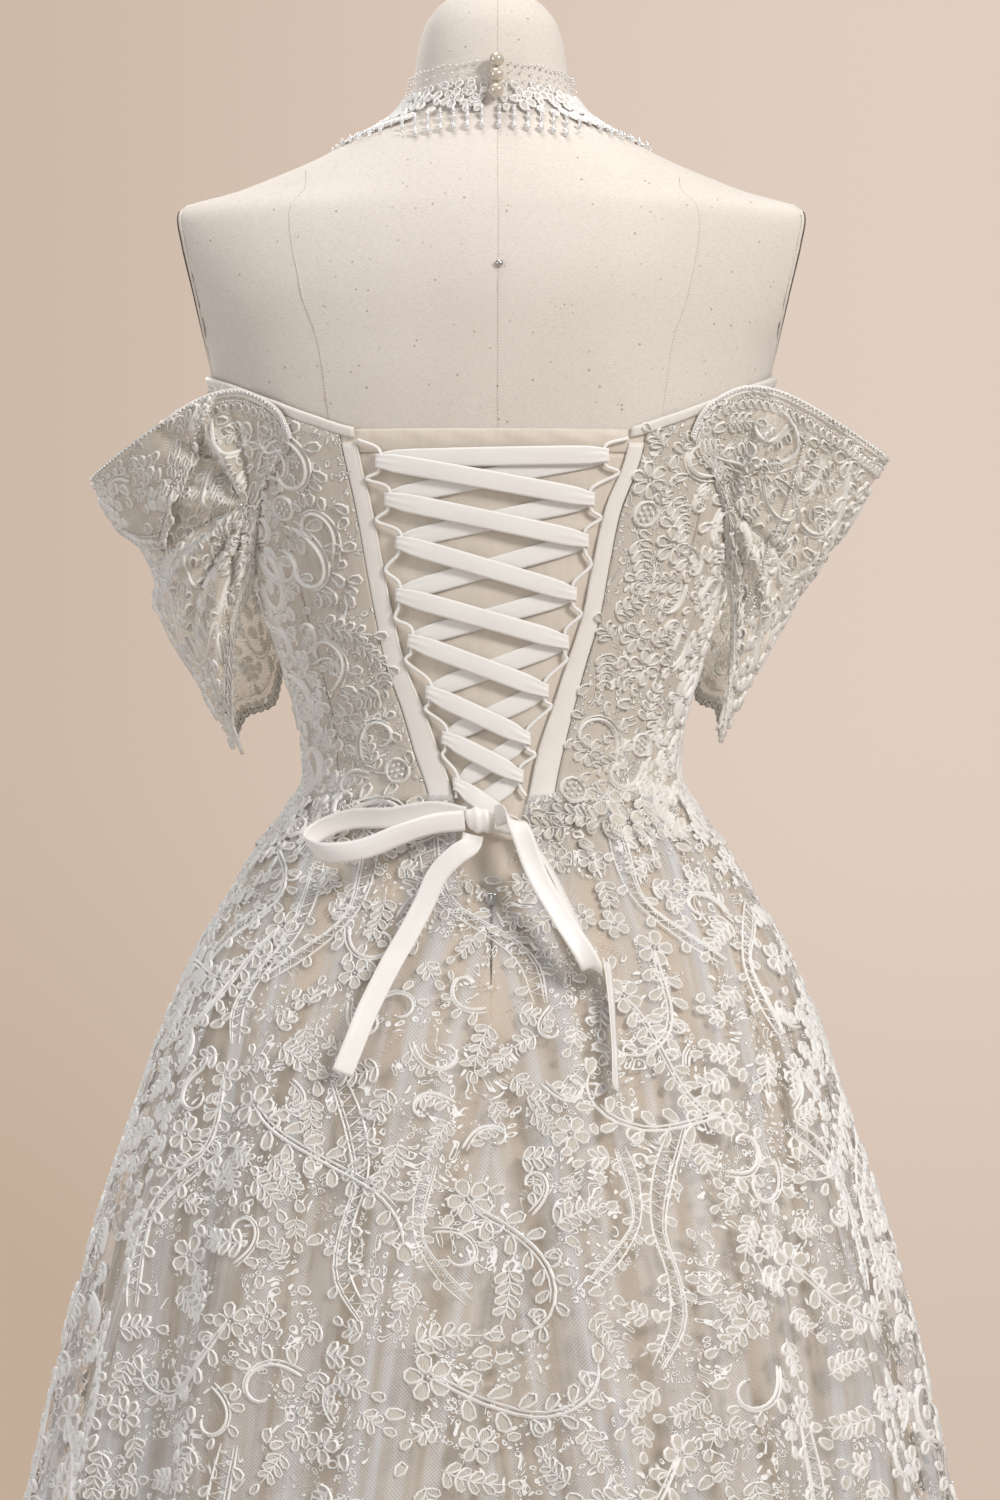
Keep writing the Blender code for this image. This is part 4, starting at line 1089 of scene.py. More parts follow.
class LaceField:
    """Strews motifs over a cloth so that they nest without lying on each other.

    Where the lace goes all round the dress, it is sparser in front and near the floor, and
    closer above the hips.
    """

    FRONT, LOW, RARE = 112.0, 580.0, 0.42
    HIPS, CLOSER = 820.0, 2.2

    def __init__(self, drape: Drape, seed: int, cell: Tuple[float, float], loops: bool) -> None:
        """Args: the cloth, the random seed, the map's cell in u and v, whether u wraps."""
        self.drape, self.cell, self.loops = drape, cell, loops
        self.random = np.random.default_rng(seed)
        self.low = np.array([drape.us[0], drape.vs[0]])
        spans = np.array([drape.us[-1], drape.vs[-1]]) - self.low
        self.shape = np.maximum((spans / cell).astype(int), 1)
        self.taken = np.zeros(self.shape, bool)
        self.placed: List[Tuple[Motif, Array]] = []
        self.triangles = 0

    def block(self, test: Test) -> None:
        """Keeps lace off wherever the test says so."""
        u, v = (low + (np.arange(count) + 0.5) * cell
                for low, count, cell in zip(self.low, self.shape, self.cell))
        self.taken |= test(u[:, None], v[None, :])

    def cells(self, places: Array) -> Tuple[Array, Array, Array]:
        """The map cells of places, and which of them are inside the map."""
        i, j = np.floor((places - self.low) / self.cell).astype(int).T
        if self.loops:
            i = i % self.shape[0]
        inside = (i >= 0) & (i < self.shape[0]) & (j >= 0) & (j < self.shape[1])
        return i, j, inside

    def put(
        self, motif: Motif, u: float, v: float, turn: float, size: float, crowd: float = 1.0
    ) -> None:
        """Places one motif if there is room for it.

        Args:
            motif: what is sewn on.
            u: the place's column station.
            v: its row station.
            turn: how far the motif is turned, in radians.
            size: its scale; a negative one mirrors it.
            crowd: the share of it that may lie on others.
        """
        tables = (self.drape.per_u, self.drape.per_v)
        per = np.array([float(self.drape.read(t, np.array(u), np.array(v))) for t in tables])
        c, s = math.cos(turn), math.sin(turn)
        spin = np.array([[c, s], [-s, c]]) * abs(size)
        if size < 0:
            spin = np.array([[-1.0, 0.0], [0.0, 1.0]]) @ spin
        i, j, inside = self.cells(np.array([u, v]) + motif.footprint @ spin / per)
        if inside.mean() < 0.995:
            return
        i, j = i[inside], j[inside]
        if self.taken[i, j].mean() > crowd:
            return
        for di, dj in ((0, 0), (1, 0), (-1, 0), (0, 1), (0, -1)):
            near = (i + di) % self.shape[0] if self.loops else np.clip(i + di, 0, self.shape[0] - 1)
            self.taken[near, np.clip(j + dj, 0, self.shape[1] - 1)] = True
        self.placed.append((motif, np.array([u, v, *spin.ravel(), *per])))
        self.triangles += motif.triangles

    def edge(self, motif: Motif, v: float, pitch: float, turn: float, size: float) -> None:
        """Places a row of one motif along a sleeve's cloth at one row station.

        Args:
            motif: what is sewn on.
            v: the row station.
            pitch: the gap from one to the next.
            turn: how far each is turned, in radians.
            size: its scale.
        """
        low, high = self.drape.us[[0, -1]]
        us = np.linspace(max(low, 0.0) + 0.05, min(high, 20.0) - 0.05, 400)
        gone = travelled(self.drape.raised(us, v, 0.0)[0])
        for at in np.arange(pitch, gone[-1] - pitch, pitch):
            self.put(motif, float(np.interp(at, gone, us)), v, turn, size)

    def avoid(self, other: "LaceField") -> None:
        """Keeps lace off what another field has placed, where the two overlap."""
        for motif, row in other.placed:
            places = row[:2] + motif.footprint @ row[2:6].reshape(2, 2) / row[6:8]
            i, j, inside = self.cells(places)
            self.taken[i[inside], j[inside]] = True

    def sow(
        self, sowings: Sequence[Sowing], budget: int, lean: Field, grow: Field = lambda u, v: 1.0
    ) -> None:
        """Tries random places for motifs.

        Args:
            sowings: the kinds and their habits, the largest first.
            budget: the most triangles that the field may hold.
            lean: the direction that motifs follow at a place.
            grow: their scale at a place.
        """
        low, high = self.low, self.low + self.shape * self.cell
        widest = float(self.drape.per_u.max())
        for sowing in sowings:
            small, large = sowing.sizes
            for draw in self.random.random((sowing.tries, 8)):
                if self.triangles > budget:
                    break
                u, v = low + (high - low) * draw[:2]
                wide = float(self.drape.read(self.drape.per_u, np.array(u), np.array(v)))
                rare = self.loops and (abs(u) > self.FRONT or v < self.LOW)
                if draw[2] > wide / widest or (rare and draw[7] > self.RARE):
                    continue
                i, j, inside = self.cells(np.array([[u, v]]))
                if not inside[0] or self.taken[i[0], j[0]]:
                    continue
                turn = lean(u, v) + sowing.flow * (2 * draw[4] - 1)
                size = grow(u, v) * (small + (large - small) * draw[5])
                crowd = sowing.crowd * (self.CLOSER if self.loops and v > self.HIPS else 1.0)
                self.put(sowing.motifs[int(draw[3] * len(sowing.motifs))], u, v, turn,
                         -size if draw[6] > 0.5 else size, crowd)

    def cords(
        self, skin: float, relief: float = 1.0, span: Tuple[float, float] = (0.0, 360.0),
        side: Side = Side.LEFT,
    ) -> Tuple[Build, Build]:
        """The cords and the beads of placed motifs.

        Args:
            skin: how far off the cloth's middle they start.
            relief: scales how far the cords stand out.
            span: the angles from the centre back between which a motif's foot lies.
            side: the side round which they are counted.

        Returns:
            The piece of cord and the piece of beads.
        """
        cord, beads = Build(filled=True), Build()
        groups: Dict[Motif, List[Array]] = {}
        for motif, row in self.placed:
            groups.setdefault(motif, []).append(row)
        for motif, rows in groups.items():
            table = np.array(rows)
            angle = side.value * table[:, 0] % 360.0
            table = table[(angle >= span[0]) & (angle < span[1])]
            if not len(table):
                continue
            turned = np.linalg.det(table[:, 2:6].reshape(-1, 2, 2))
            scale = np.sqrt(np.abs(turned))[:, None]
            spots, before, after, half, rise = motif.arrays()
            points, normals = self.on_cloth(table, spots, skin)
            start = np.arange(len(table))[:, None] * len(spots)
            add_ridge(
                cord, points.reshape(-1, 3), normals.reshape(-1, 3), (before + start).ravel(),
                (after + start).ravel(), (half * scale).ravel(), (rise * scale * relief).ravel(),
            )
            middles, corners = motif.fans()
            if len(middles):
                centres, ways = self.on_cloth(table, middles, skin)
                centres = centres + ways * 0.55 * relief
                both = np.concatenate([centres, points + normals * 0.1], axis=1)
                corners = corners + np.array([0, len(middles), len(middles)])
                tris = [corners[:, ::1 if det < 0 else -1] + k * both.shape[1]
                        for k, det in enumerate(turned)]
                cord.add(both, tris=np.concatenate(tris))
            if motif.beads:
                spots = np.array(motif.beads)
                points, normals = self.on_cloth(table, spots[:, :2], skin)
                add_beads(beads, points.reshape(-1, 3), normals.reshape(-1, 3),
                          (spots[:, 2] * scale).ravel())
        return cord, beads

    def on_cloth(self, table: Array, spots: Array, lift: float) -> Tuple[Array, Array]:
        """A motif's spots on the cloth.

        Args:
            table: a row for each place where it is sewn.
            spots: the spots on the motif.
            lift: how far off the cloth they are.

        Returns:
            The points by place and spot, and the directions out of the cloth there.
        """
        spin, per = table[:, 2:6].reshape(-1, 2, 2), table[:, None, 6:8]
        places = table[:, None, :2] + spots @ spin / per
        u, first, last = places[..., 0], self.drape.us[0], self.drape.us[-1]
        if self.loops:
            u = first + (u - first) % (last - first)
        return self.drape.raised(u, places[..., 1], lift)


# -------------------------------------------------------------------------------- studio
@dataclass
class Studio:
    """Camera, lights, pale floor and a warm plain surrounding, in metres."""

    camera_place: Colour = (-0.0053, 2.9, 1.0748)
    view_height: float = 0.93
    sensor: float = 36.0
    floor_radius: float = 3.2
    glow: Tuple[float, float] = (0.03, 0.08)
    # The seen surrounding's colours: dark is its painted shade and pale its painted light.
    dark: Colour = (0.545, 0.420, 0.322)
    pale: Colour = (0.755, 0.625, 0.535)
    lit: Tuple[float, ...] = (0.86, 0.84, 0.83, 1.0)
    lit_strength: float = 0.42
    # Soft boxes: name, place, aim, size, power, colour.
    boxes: Tuple = (
        ("key", (-2.2, 2.25, 2.95), (0.0, 0.0, 1.2), 1.0, 83.0, (1.0, 0.965, 0.93)),
        ("fill", (2.9, 1.9, 1.7), (0.0, 0.0, 1.0), 2.2, 25.0, (0.95, 0.97, 1.0)),
        ("top", (0.3, 0.1, 3.6), (0.0, 0.0, 1.2), 1.2, 26.0, (1.0, 0.98, 0.96)),
        ("front", (1.8, -2.8, 2.3), (0.0, 0.0, 1.0), 2.0, 46.0, (1.0, 0.97, 0.94)),
    )

    def build(self) -> None:
        """Makes everything that isn't part of the object."""
        self.camera()
        self.surroundings()
        self.lights()
        self.floor()
        bpy.context.scene.view_settings.view_transform = "Standard"
        bpy.context.scene.view_settings.look = "None"

    @staticmethod
    def placed(name: str, data: bpy.types.ID, place: Colour = (0.0, 0.0, 0.0)) -> Piece:
        """Puts a camera, lamp or mesh into the scene."""
        thing = bpy.data.objects.new(name, data)
        thing.location = place
        bpy.context.scene.collection.objects.link(thing)
        return thing

    def camera(self) -> None:
        """A level camera behind the dress."""
        data = bpy.data.cameras.new("camera")
        data.sensor_width = self.sensor
        data.lens = self.sensor * self.camera_place[1] / self.view_height
        camera = self.placed("camera", data, self.camera_place)
        camera.rotation_euler = (math.pi / 2, 0.0, math.pi)
        bpy.context.scene.camera = camera

    def surroundings(self) -> None:
        """A soft warm gradient to be seen, which is painted light and shade: darker towards +X and
        downward, lighter towards -X and upward; and an even pale light to be lit by.
        """
        world = bpy.data.worlds.new("surroundings")
        bpy.context.scene.world = world
        world.use_nodes = True
        world.node_tree.nodes.clear()
        tree = Tree(world.node_tree)
        way = tree.add("TexCoord", {}, "Generated")
        x, z = (tree.add("SeparateXYZ", {"Vector": way}, axis) for axis in "XZ")
        across = tree.ramp(x, (0.15, -0.09, 0.09, 0.80), interpolation_type="SMOOTHSTEP")
        upward = tree.ramp(z, (-0.17, 0.01, -0.30, 0.17), interpolation_type="SMOOTHSTEP")
        mixed = tree.mix(tree.math("ADD", across, upward), self.dark, self.pale)
        seen = tree.add("Background", {"Color": mixed})
        lit = tree.add("Background", {"Color": self.lit, "Strength": self.lit_strength})
        camera_ray = tree.add("LightPath", {}, "Is Camera Ray")
        choice = tree.add("MixShader", {"0": camera_ray, "1": lit, "2": seen})
        tree.add("OutputWorld", {"Surface": choice})

    def lights(self) -> None:
        """Soft boxes, and a faint glow inside each sleeve."""
        for name, place, aim, size, power, colour in self.boxes:
            data = bpy.data.lights.new(name, "AREA")
            data.shape, data.size, data.energy, data.color = "DISK", size, power, colour
            way = np.array(place) - np.array(aim)
            self.placed(name, data, place).rotation_euler = (
                math.atan2(math.hypot(way[0], way[1]), way[2]), 0.0, math.atan2(way[0], -way[1]))
        for side, power in zip(Side, self.glow):
            data = bpy.data.lights.new("glow_" + side.word, "POINT")
            data.energy, data.shadow_soft_size = power, 0.03
            self.placed("glow_" + side.word, data, (side.value * 0.166, -0.01, 1.165))

    def floor(self) -> None:
        """A pale floor that fades out before its edge."""
        steps = 64
        turn = np.linspace(0, 2 * np.pi, steps, endpoint=False)
        radii = np.linspace(0.0, self.floor_radius, 9)[1:, None] / MM
        rows = cols(radii * np.cos(turn), radii * np.sin(turn), -0.4)
        build = Build()
        build.add(rows, grid_quads(len(radii), steps, 1.0, closed=True), fan(steps))
        mesh = bpy.data.meshes.new("floor")
        build.fill(mesh)
        look = Look("pale_floor", Roughness=0.75, Specular_IOR_Level=0.2)
        where = look.place()
        look.join(look.mix(look.noise(where, 3.0), (0.60, 0.51, 0.44), (0.56, 0.47, 0.40)))
        away = look.add("VectorMath", {"0": where}, "Value", operation="LENGTH")
        look.join(look.ramp(away, (1.2, self.floor_radius - 0.1, 1.0, 0.0)), "Alpha")
        mesh.materials.append(look.material)
        self.placed("floor", mesh)


# ------------------------------------------------------------------------ creased cloths
def creased(drape: Drape, creases: Sequence[Sequence[float]]) -> Drape:
    """A cloth with soft ridges worked into it.

    Args:
        drape: the cloth.
        creases: rows of u, v at a ridge's start, u, v at its end, its width and its height,
            which is below zero for a trough.

    Returns:
        The creased cloth.
    """
    per = np.array([drape.per_u.mean(), drape.per_v.mean()])
    u, v = np.meshgrid(drape.us * per[0], drape.vs * per[1])
    lift = np.zeros_like(u)
    for *ends, width, height in creases:
        a, b = np.array(ends).reshape(2, 2) * per
        way = b - a
        share = np.clip(((u - a[0]) * way[0] + (v - a[1]) * way[1]) / (way @ way), 0.0, 1.0)
        away = np.hypot(u - a[0] - share * way[0], v - a[1] - share * way[1])
        lift += height * np.exp(-((away / width) ** 2)) * np.sin(np.pi * (0.1 + 0.8 * share))
    return Drape(drape.points + lift[..., None] * drape.normals, drape.us, drape.vs, drape.outward)


def extended(drape: Drape, below: float, above: float) -> Drape:
    """The same cloth carried on a little past its lowest and highest rows, in millimetres."""
    down, up = unit(drape.points[0] - drape.points[1]), unit(drape.points[-1] - drape.points[-2])
    points = [drape.points[:1] + down * below, drape.points, drape.points[-1:] + up * above]
    vs = [[drape.vs[0] - below / drape.per_v[0].mean()], drape.vs,
          [drape.vs[-1] + above / drape.per_v[-1].mean()]]
    return Drape(np.concatenate(points), drape.us, np.concatenate(vs), drape.outward)


def strip(centres: Array, across: Array, out: Array, half: Array, cup: float) -> Drape:
    """A ribbon, a little cupped, along a centre line.

    Args:
        centres: its middle line.
        across: the directions of its width.
        out: the directions that its face looks in.
        half: half its width along the line.
        cup: how far its middle stands above its edges.

    Returns:
        The ribbon, with its width along u and its length along v.
    """
    shares = np.linspace(-1.0, 1.0, 7)
    points = (
        centres[:, None] + across[:, None] * (shares[None, :, None] * half[:, None, None])
        + out[:, None] * (cup * (0.5 - shares**2))[None, :, None]
    )
    return Drape(points, shares, travelled(centres) + np.arange(len(centres)) * 1e-6)


# ------------------------------------------------------------------------- the dress form
@dataclass
class DressForm:
    """A linen-covered torso with stitched seams and flat arm plates, on a pole and base."""

    around: int = 128
    stitch_gap: float = 1.9
    # Seams down the back, mirrored to the front: x and height.
    seams_down: Tuple = (
        ((113.2, 1428), (106.4, 1340), (98.5, 1280), (90, 1200)),
        ((-114.3, 1423), (-113.2, 1368), (-106.4, 1301), (-98, 1240), (-92, 1200)),
        ((-3.9, 1540), (-3.9, 1500), (-3.9, 1440), (-3.9, 1368), (-3.9, 1300), (-3.9, 1262)),
    )
    pin: Tuple[float, float] = (-4.5, 1367.0)
    pin_profile: Tuple = ((0, 3.1), (1.2, 2.9), (2, 2.2), (2.4, 1.3), (2.2, 0.5), (0.6, 0.1),
                          (0.5, 0))
    pole: Tuple = (
        (15, 799.6), (15, 792), (18.5, 790), (19.5, 784), (18.5, 766), (15, 763), (15, 420),
        (17, 417), (17, 402), (15, 399), (15, 44), (18, 38), (22, 24), (29, 16.5),
    )
    base: Tuple = (
        (0, 17.2), (31, 17), (60, 15.6), (110, 12.4), (151, 10.4), (160, 9.2), (164, 6.6),
        (165, 4), (165, 0.6), (163.5, 0), (0, 0),
    )

    def build(self) -> None:
        """Makes the form and its stand."""
        self.torso()
        self.seams()
        self.arm_plates()
        self.turned("form_pin_head", self.pin_profile, "metal", Slot.SMALL_METAL, "form_pin", 20,
                    self.pin)
        self.turned("stand_pole", self.pole, "stand", Slot.PAINTED_STAND, "form_pole", 48)
        self.turned("stand_base", self.base, "stand", Slot.PAINTED_STAND, "form_base", 96)

    def torso(self) -> None:
        """The smooth closed body."""
        heights = np.concatenate([np.arange(800.0, 1380.0, 16.0), np.linspace(1380.0, 1545.0, 52)])
        angles = np.linspace(0.0, 360.0, self.around, endpoint=False)
        cap, top = fan(self.around), (len(heights) - 1) * self.around
        build = Build()
        build.add(FORM.at(angles, heights[:, None]),
                  grid_quads(len(heights), self.around, 1.0, closed=True),
                  np.concatenate([cap, top + cap[:, [0, 2, 1]]]))
        show("form_cover", build, "linen", ["form_torso"])

    def stitched(self, angles: Array, heights: Array, ridge: Build, dots: Build) -> None:
        """Adds one seam: a fine ridge to one piece and the stitches along it to another."""
        points, normals = FORM.lifted(angles, heights, 0.0), FORM.normal(angles, heights)
        add_line(ridge, points, normals, 0.7, 0.3)
        gone = travelled(points)
        at = np.arange(0.0, gone[-1], self.stitch_gap)
        spots, ways = (read_along(at, gone, table) for table in (points, normals))
        add_beads(dots, spots + ways * 0.12, ways, 0.36, 5, 1)

    def seams(self) -> None:
        """Princess seams, centre back and front, and shoulders."""
        ridge, dots = Build(), Build()
        for route in self.seams_down:
            x, heights = rounded(route, 60).T
            angle = FORM.angle_of(x, heights)
            for turned in (angle, 180.0 - angle):
                self.stitched(turned, heights, ridge, dots)
        for side in (90.0, -90.0):
            self.stitched(np.full(26, side * 0.985), np.linspace(1410.0, 1452.0, 26), ridge, dots)
        show("form_seam_ridges", ridge, "linen")
        show("form_stitches", dots, "seam")

    def arm_plates(self) -> None:
        """The dark edge, painted shade along each plate's border, and the pale rim round each flat
        arm plate.
        """
        dark, rim = Build(), Build()
        heights = np.linspace(1304.0, 1404.0, 50)
        plate, power = FORM.size("plate", heights), Shell.SQUARENESS
        back, front = (
            np.degrees(np.arcsin((1 - (plate / FORM.size(reach, heights)) ** power) ** 0.5))
            for reach in ("back", "front")
        )
        angles = np.concatenate([back, 180.0 - front[::-1]])
        levels = np.concatenate([heights, heights[::-1]])
        for side in Side:
            for build, inward, lift, width in ((dark, 1.4, 0.25, 0.75), (rim, -0.6, 0.1, 1.3)):
                turned = side.value * (angles + np.where(angles < 90.0, inward, -inward))
                points = FORM.lifted(turned, levels, lift)
                add_line(build, points, FORM.normal(turned, levels), width, 0.7, closed=True)
        show("form_plate_painted_shade", dark, "edge")
        show("form_plate_rims", rim, "linen")

    @staticmethod
    def turned(
        name: str, profile: Sequence, finish: str, slot: Slot, node: str, steps: int,
        at: Optional[Tuple[float, float]] = None,
    ) -> None:
        """Shows a turned part, upright over the origin or standing on the form's back.

        Args:
            name: the piece's name.
            profile: (radius, distance along the axis) from its far end to its near end.
            finish: the finish's name.
            slot: the record's material slot; not used.
            node: the CAD node that it stands for.
            steps: corners of each ring.
            at: its x and height on the form.
        """
        centre, axis = np.zeros(3), np.array([0.0, 0.0, 1.0])
        if at:
            angle = FORM.angle_of(*at)
            centre, axis = FORM.lifted(angle, at[1], 0.0), FORM.normal(angle, at[1])
        build = Build()
        add_lathe(build, profile, centre, axis, steps)
        show(name, build, finish, [node])


# --------------------------------------------------------------------- the back's opening
class Opening:
    """The lacing opening's edges, as distances from the centre back, and bands, by height."""

    HEIGHTS = (990.6, 1003, 1018, 1044, 1071, 1099, 1127, 1156, 1186, 1218, 1251, 1272)
    EDGES = {
        Side.LEFT: (3.3, 17, 20.5, 22.4, 30.4, 40.6, 52, 59.2, 65.2, 71.3, 79.1, 83.6),
        Side.RIGHT: (2.7, 9.9, 15, 21.8, 27.4, 36.4, 45.5, 55, 61, 68, 80.9, 85.4),
    }
    BAND = (0, 0, 0, 15, 15, 13, 11.5, 10.5, 10, 9.5, 9, 9)

    @classmethod
    def edge(cls, side: Side, height: Array) -> Array:
        """Distance of an edge from the centre back."""
        return through(cls.HEIGHTS, cls.EDGES[side], height)

    @classmethod
    def band(cls, height: Array) -> Array:
        """Width of the satin band along the edge."""
        return through(cls.HEIGHTS, cls.BAND, height)

    @classmethod
    def holds(cls, angle: Array, height: Array, margin: float) -> Array:
        """Whether places on the dress lie in the opening, on its bands or near them."""
        x = DRESS.at(angle, height)[..., 0]
        height = np.broadcast_to(height, x.shape)
        reach = np.where(x > 0, cls.edge(Side.LEFT, height), cls.edge(Side.RIGHT, height))
        reach = reach + np.where(height > WAIST_SEAM - 1.0, cls.band(height), 0.0) + margin
        return (np.abs(x) < reach) & (np.abs(round_gap(angle)) < 90.0) & (height > cls.HEIGHTS[0])


@dataclass
class Bodice:
    """Boned satin panels under thick corded lace, with a satin binding and back bands."""

    top: float = 1266.0
    binding_height: float = 6.0
    gap: float = 0.5
    seam_gap: float = 0.15
    satin_wall: float = 1.8
    under_wall: float = 1.2
    side_seam: float = 52.0
    front_seam: float = 112.0
    bones: Tuple[float, ...] = (37, 52, 68, 90, 112, 136, 160, 180)
    lace_triangles: int = 104_000
    lace_foot: float = 1012.0
    top_angles: Tuple[float, ...] = (0, 25, 38, 50, 68, 88, 110, 130, 152, 166, 180)
    top_heights: Tuple[float, ...] = (1266, 1268, 1277.5, 1287.5, 1299, 1305, 1302, 1300, 1307,
                                      1302, 1287)

    def build(self, skirt: "Skirt") -> LaceField:
        """Makes the bodice; its lace runs on over the skirt's seam."""
        lace = self.lace(skirt)
        for side in Side:
            self.panel("back_" + side.word, (0.0, self.side_seam), 26, side, lace)
            self.panel("side_" + side.word, (self.side_seam, self.front_seam), 40, side, lace)
            self.band(side)
        self.panel("front", (self.front_seam, 360.0 - self.front_seam), 80, Side.LEFT, lace)
        self.binding()
        return lace

    def top_edge(self, angle: Array) -> Array:
        """Height of the top edge."""
        return through(self.top_angles, self.top_heights, np.abs(round_gap(angle)))

    def relief(self, angle: Array, height: Array) -> Array:
        """Boning channels, and soft puckers between them."""
        total = 0.25 * np.sin(height / 7.0 + 0.16 * angle) * np.sin(angle / 3.1 + 0.7)
        for bone in self.bones:
            away = np.abs(np.abs(round_gap(angle)) - bone) * 2.0
            total = total + 0.7 * np.exp(-((away / 2.6) ** 2)) - 0.8 * np.exp(-((away / 0.7) ** 2))
        return total

    def panel(
        self, word: str, span: Tuple[float, float], columns: int, side: Side, lace: LaceField
    ) -> None:
        """One satin panel with the lace that lies over it.

        Args:
            word: its word in piece names.
            span: its seams' angles; one that starts at 0 starts at the back band.
            columns: how many spaces lie across it.
            side: the side round which the angles are counted.
            lace: the lace of the whole bodice.
        """
        across, share = np.linspace(0, 1, columns + 1), np.linspace(0, 1, 45)
        start, end = span[0] + self.seam_gap, span[1] - self.seam_gap
        if not span[0]:
            level = WAIST_SEAM + (self.top - WAIST_SEAM) * share[:, None]
            inner = Opening.edge(side, level) + Opening.band(level) + self.gap
            start = DRESS.angle_of(inner, level)
        angle = side.value * (start + (end - start) * across)
        high = self.top_edge(angle) - self.binding_height - self.gap
        height = WAIST_SEAM + (high - WAIST_SEAM) * share[:, None]
        points = DRESS.lifted(angle, height, self.relief(angle, height) * 0.5)
        name = "bodice_" + word
        sewn = show_lace(name, lace.cords(0.55, 1.9, span, side), "cord_bodice")
        show_cloth("satin_" + name, Drape(points, across, share, side.value), "under",
                   name, self.under_wall, sewn)

    def lace(self, skirt: "Skirt") -> LaceField:
        """Thick scrolls, flowers and leaves all round, on past the waist seam."""
        us, vs = np.linspace(-180.0, 180.0, 361), np.arange(self.lace_foot, 1302.0, 3.5)
        angle, height = np.meshgrid(us, vs)
        share = eased((height - WAIST_SEAM + 3.0) / 6.0)
        lift = self.relief(angle, height) * 0.5 * share + skirt.lift(angle, height) * (1 - share)
        lace = LaceField(Drape(DRESS.lifted(angle, height, lift), us, vs), 41, (0.5, 1.2), True)
        lace.block(lambda u, v: v > self.top_edge(u) - self.binding_height - 1.0)
        lace.block(lambda u, v: Opening.holds(u, v, 1.6))
        m = Motifs
        lace.sow((
            Sowing([m.scroll(62.0, 8.6, 1.3, 5), m.scroll(54.0, 9.4, 1.25, 5)], 420, 0.08, 1.2),
            Sowing([m.flower(6, 8.4, 9), m.flower(5, 9.4, 8), m.cluster(5.0)], 420, 0.05, 3.1,
                   (0.9, 1.2)),
            Sowing([m.scroll(44.0, 8.6, 1.15, 4), m.scroll(34.0, -9.0, 1.1, 3)], 1500, 0.08),
            Sowing([m.spray(4, 8.6, 6.0), m.spray(3, 8.2, -5.0)], 3000, 0.10),
            Sowing([m.spray(2, 7.4, 2.0), m.leaf(9.0, 5.2)], 4500, 0.12),
            Sowing([m.leaf(6.2, 4.0, 6), m.dots(9.0, 3.0, 2.2, 0.7)], 5000, 0.14),
        ), self.lace_triangles, lambda u, v: math.pi * 0.15 * math.sin(v / 21.0) + u / 30.0)
        return lace

    def band(self, side: Side) -> None:
        """The plain satin band along one side of the opening."""
        heights = np.linspace(WAIST_SEAM, self.top - self.binding_height, 60)
        level, across = heights[:, None], np.linspace(0, 1, 9)
        x = Opening.edge(side, level) + Opening.band(level) * across
        pull = 0.25 * np.sin(level / 4.1) * (1 - across) ** 2
        lift = 0.35 * np.sin(np.pi * across) - 0.35 + pull
        points = DRESS.lifted(side.value * DRESS.angle_of(x, level), level, lift)
        drape = Drape(points, across, heights, side.value)
        build = Build()
        for share in (0.09, 0.91):
            line, normals = drape.raised(np.full(160, share), np.linspace(*heights[[0, -1]], 160),
                                         self.satin_wall / 2)
            add_line(build, line, normals, 0.3, 0.22)
        stitches = show("band_stitching_" + side.word, build, "band")
        show_cloth("satin_band_" + side.word, drape, "band",
                   "back_band_" + side.word, self.satin_wall, [stitches])

    def binding(self) -> None:
        """The folded satin binding along the whole top edge."""
        left, right = (
            float(DRESS.angle_of(Opening.edge(side, self.top), self.top)) for side in Side
        )
        angles, turn = np.linspace(left, 360.0 - right, 261), np.linspace(0.0, 1.0, 9)
        below = self.binding_height * (1 - np.sin(np.pi / 2 * np.minimum(turn * 1.35, 1.0)))
        lift = 0.9 * np.sin(np.pi * np.minimum(turn * 1.1, 1.0)) - 1.0 * eased((turn - 0.7) / 0.3)
        height = self.top_edge(angles) - below[:, None]
        drape = Drape(DRESS.lifted(angles, height, lift[:, None]), angles, turn)
        show_cloth("satin_binding", drape, "band",
                   "top_binding", 1.0)


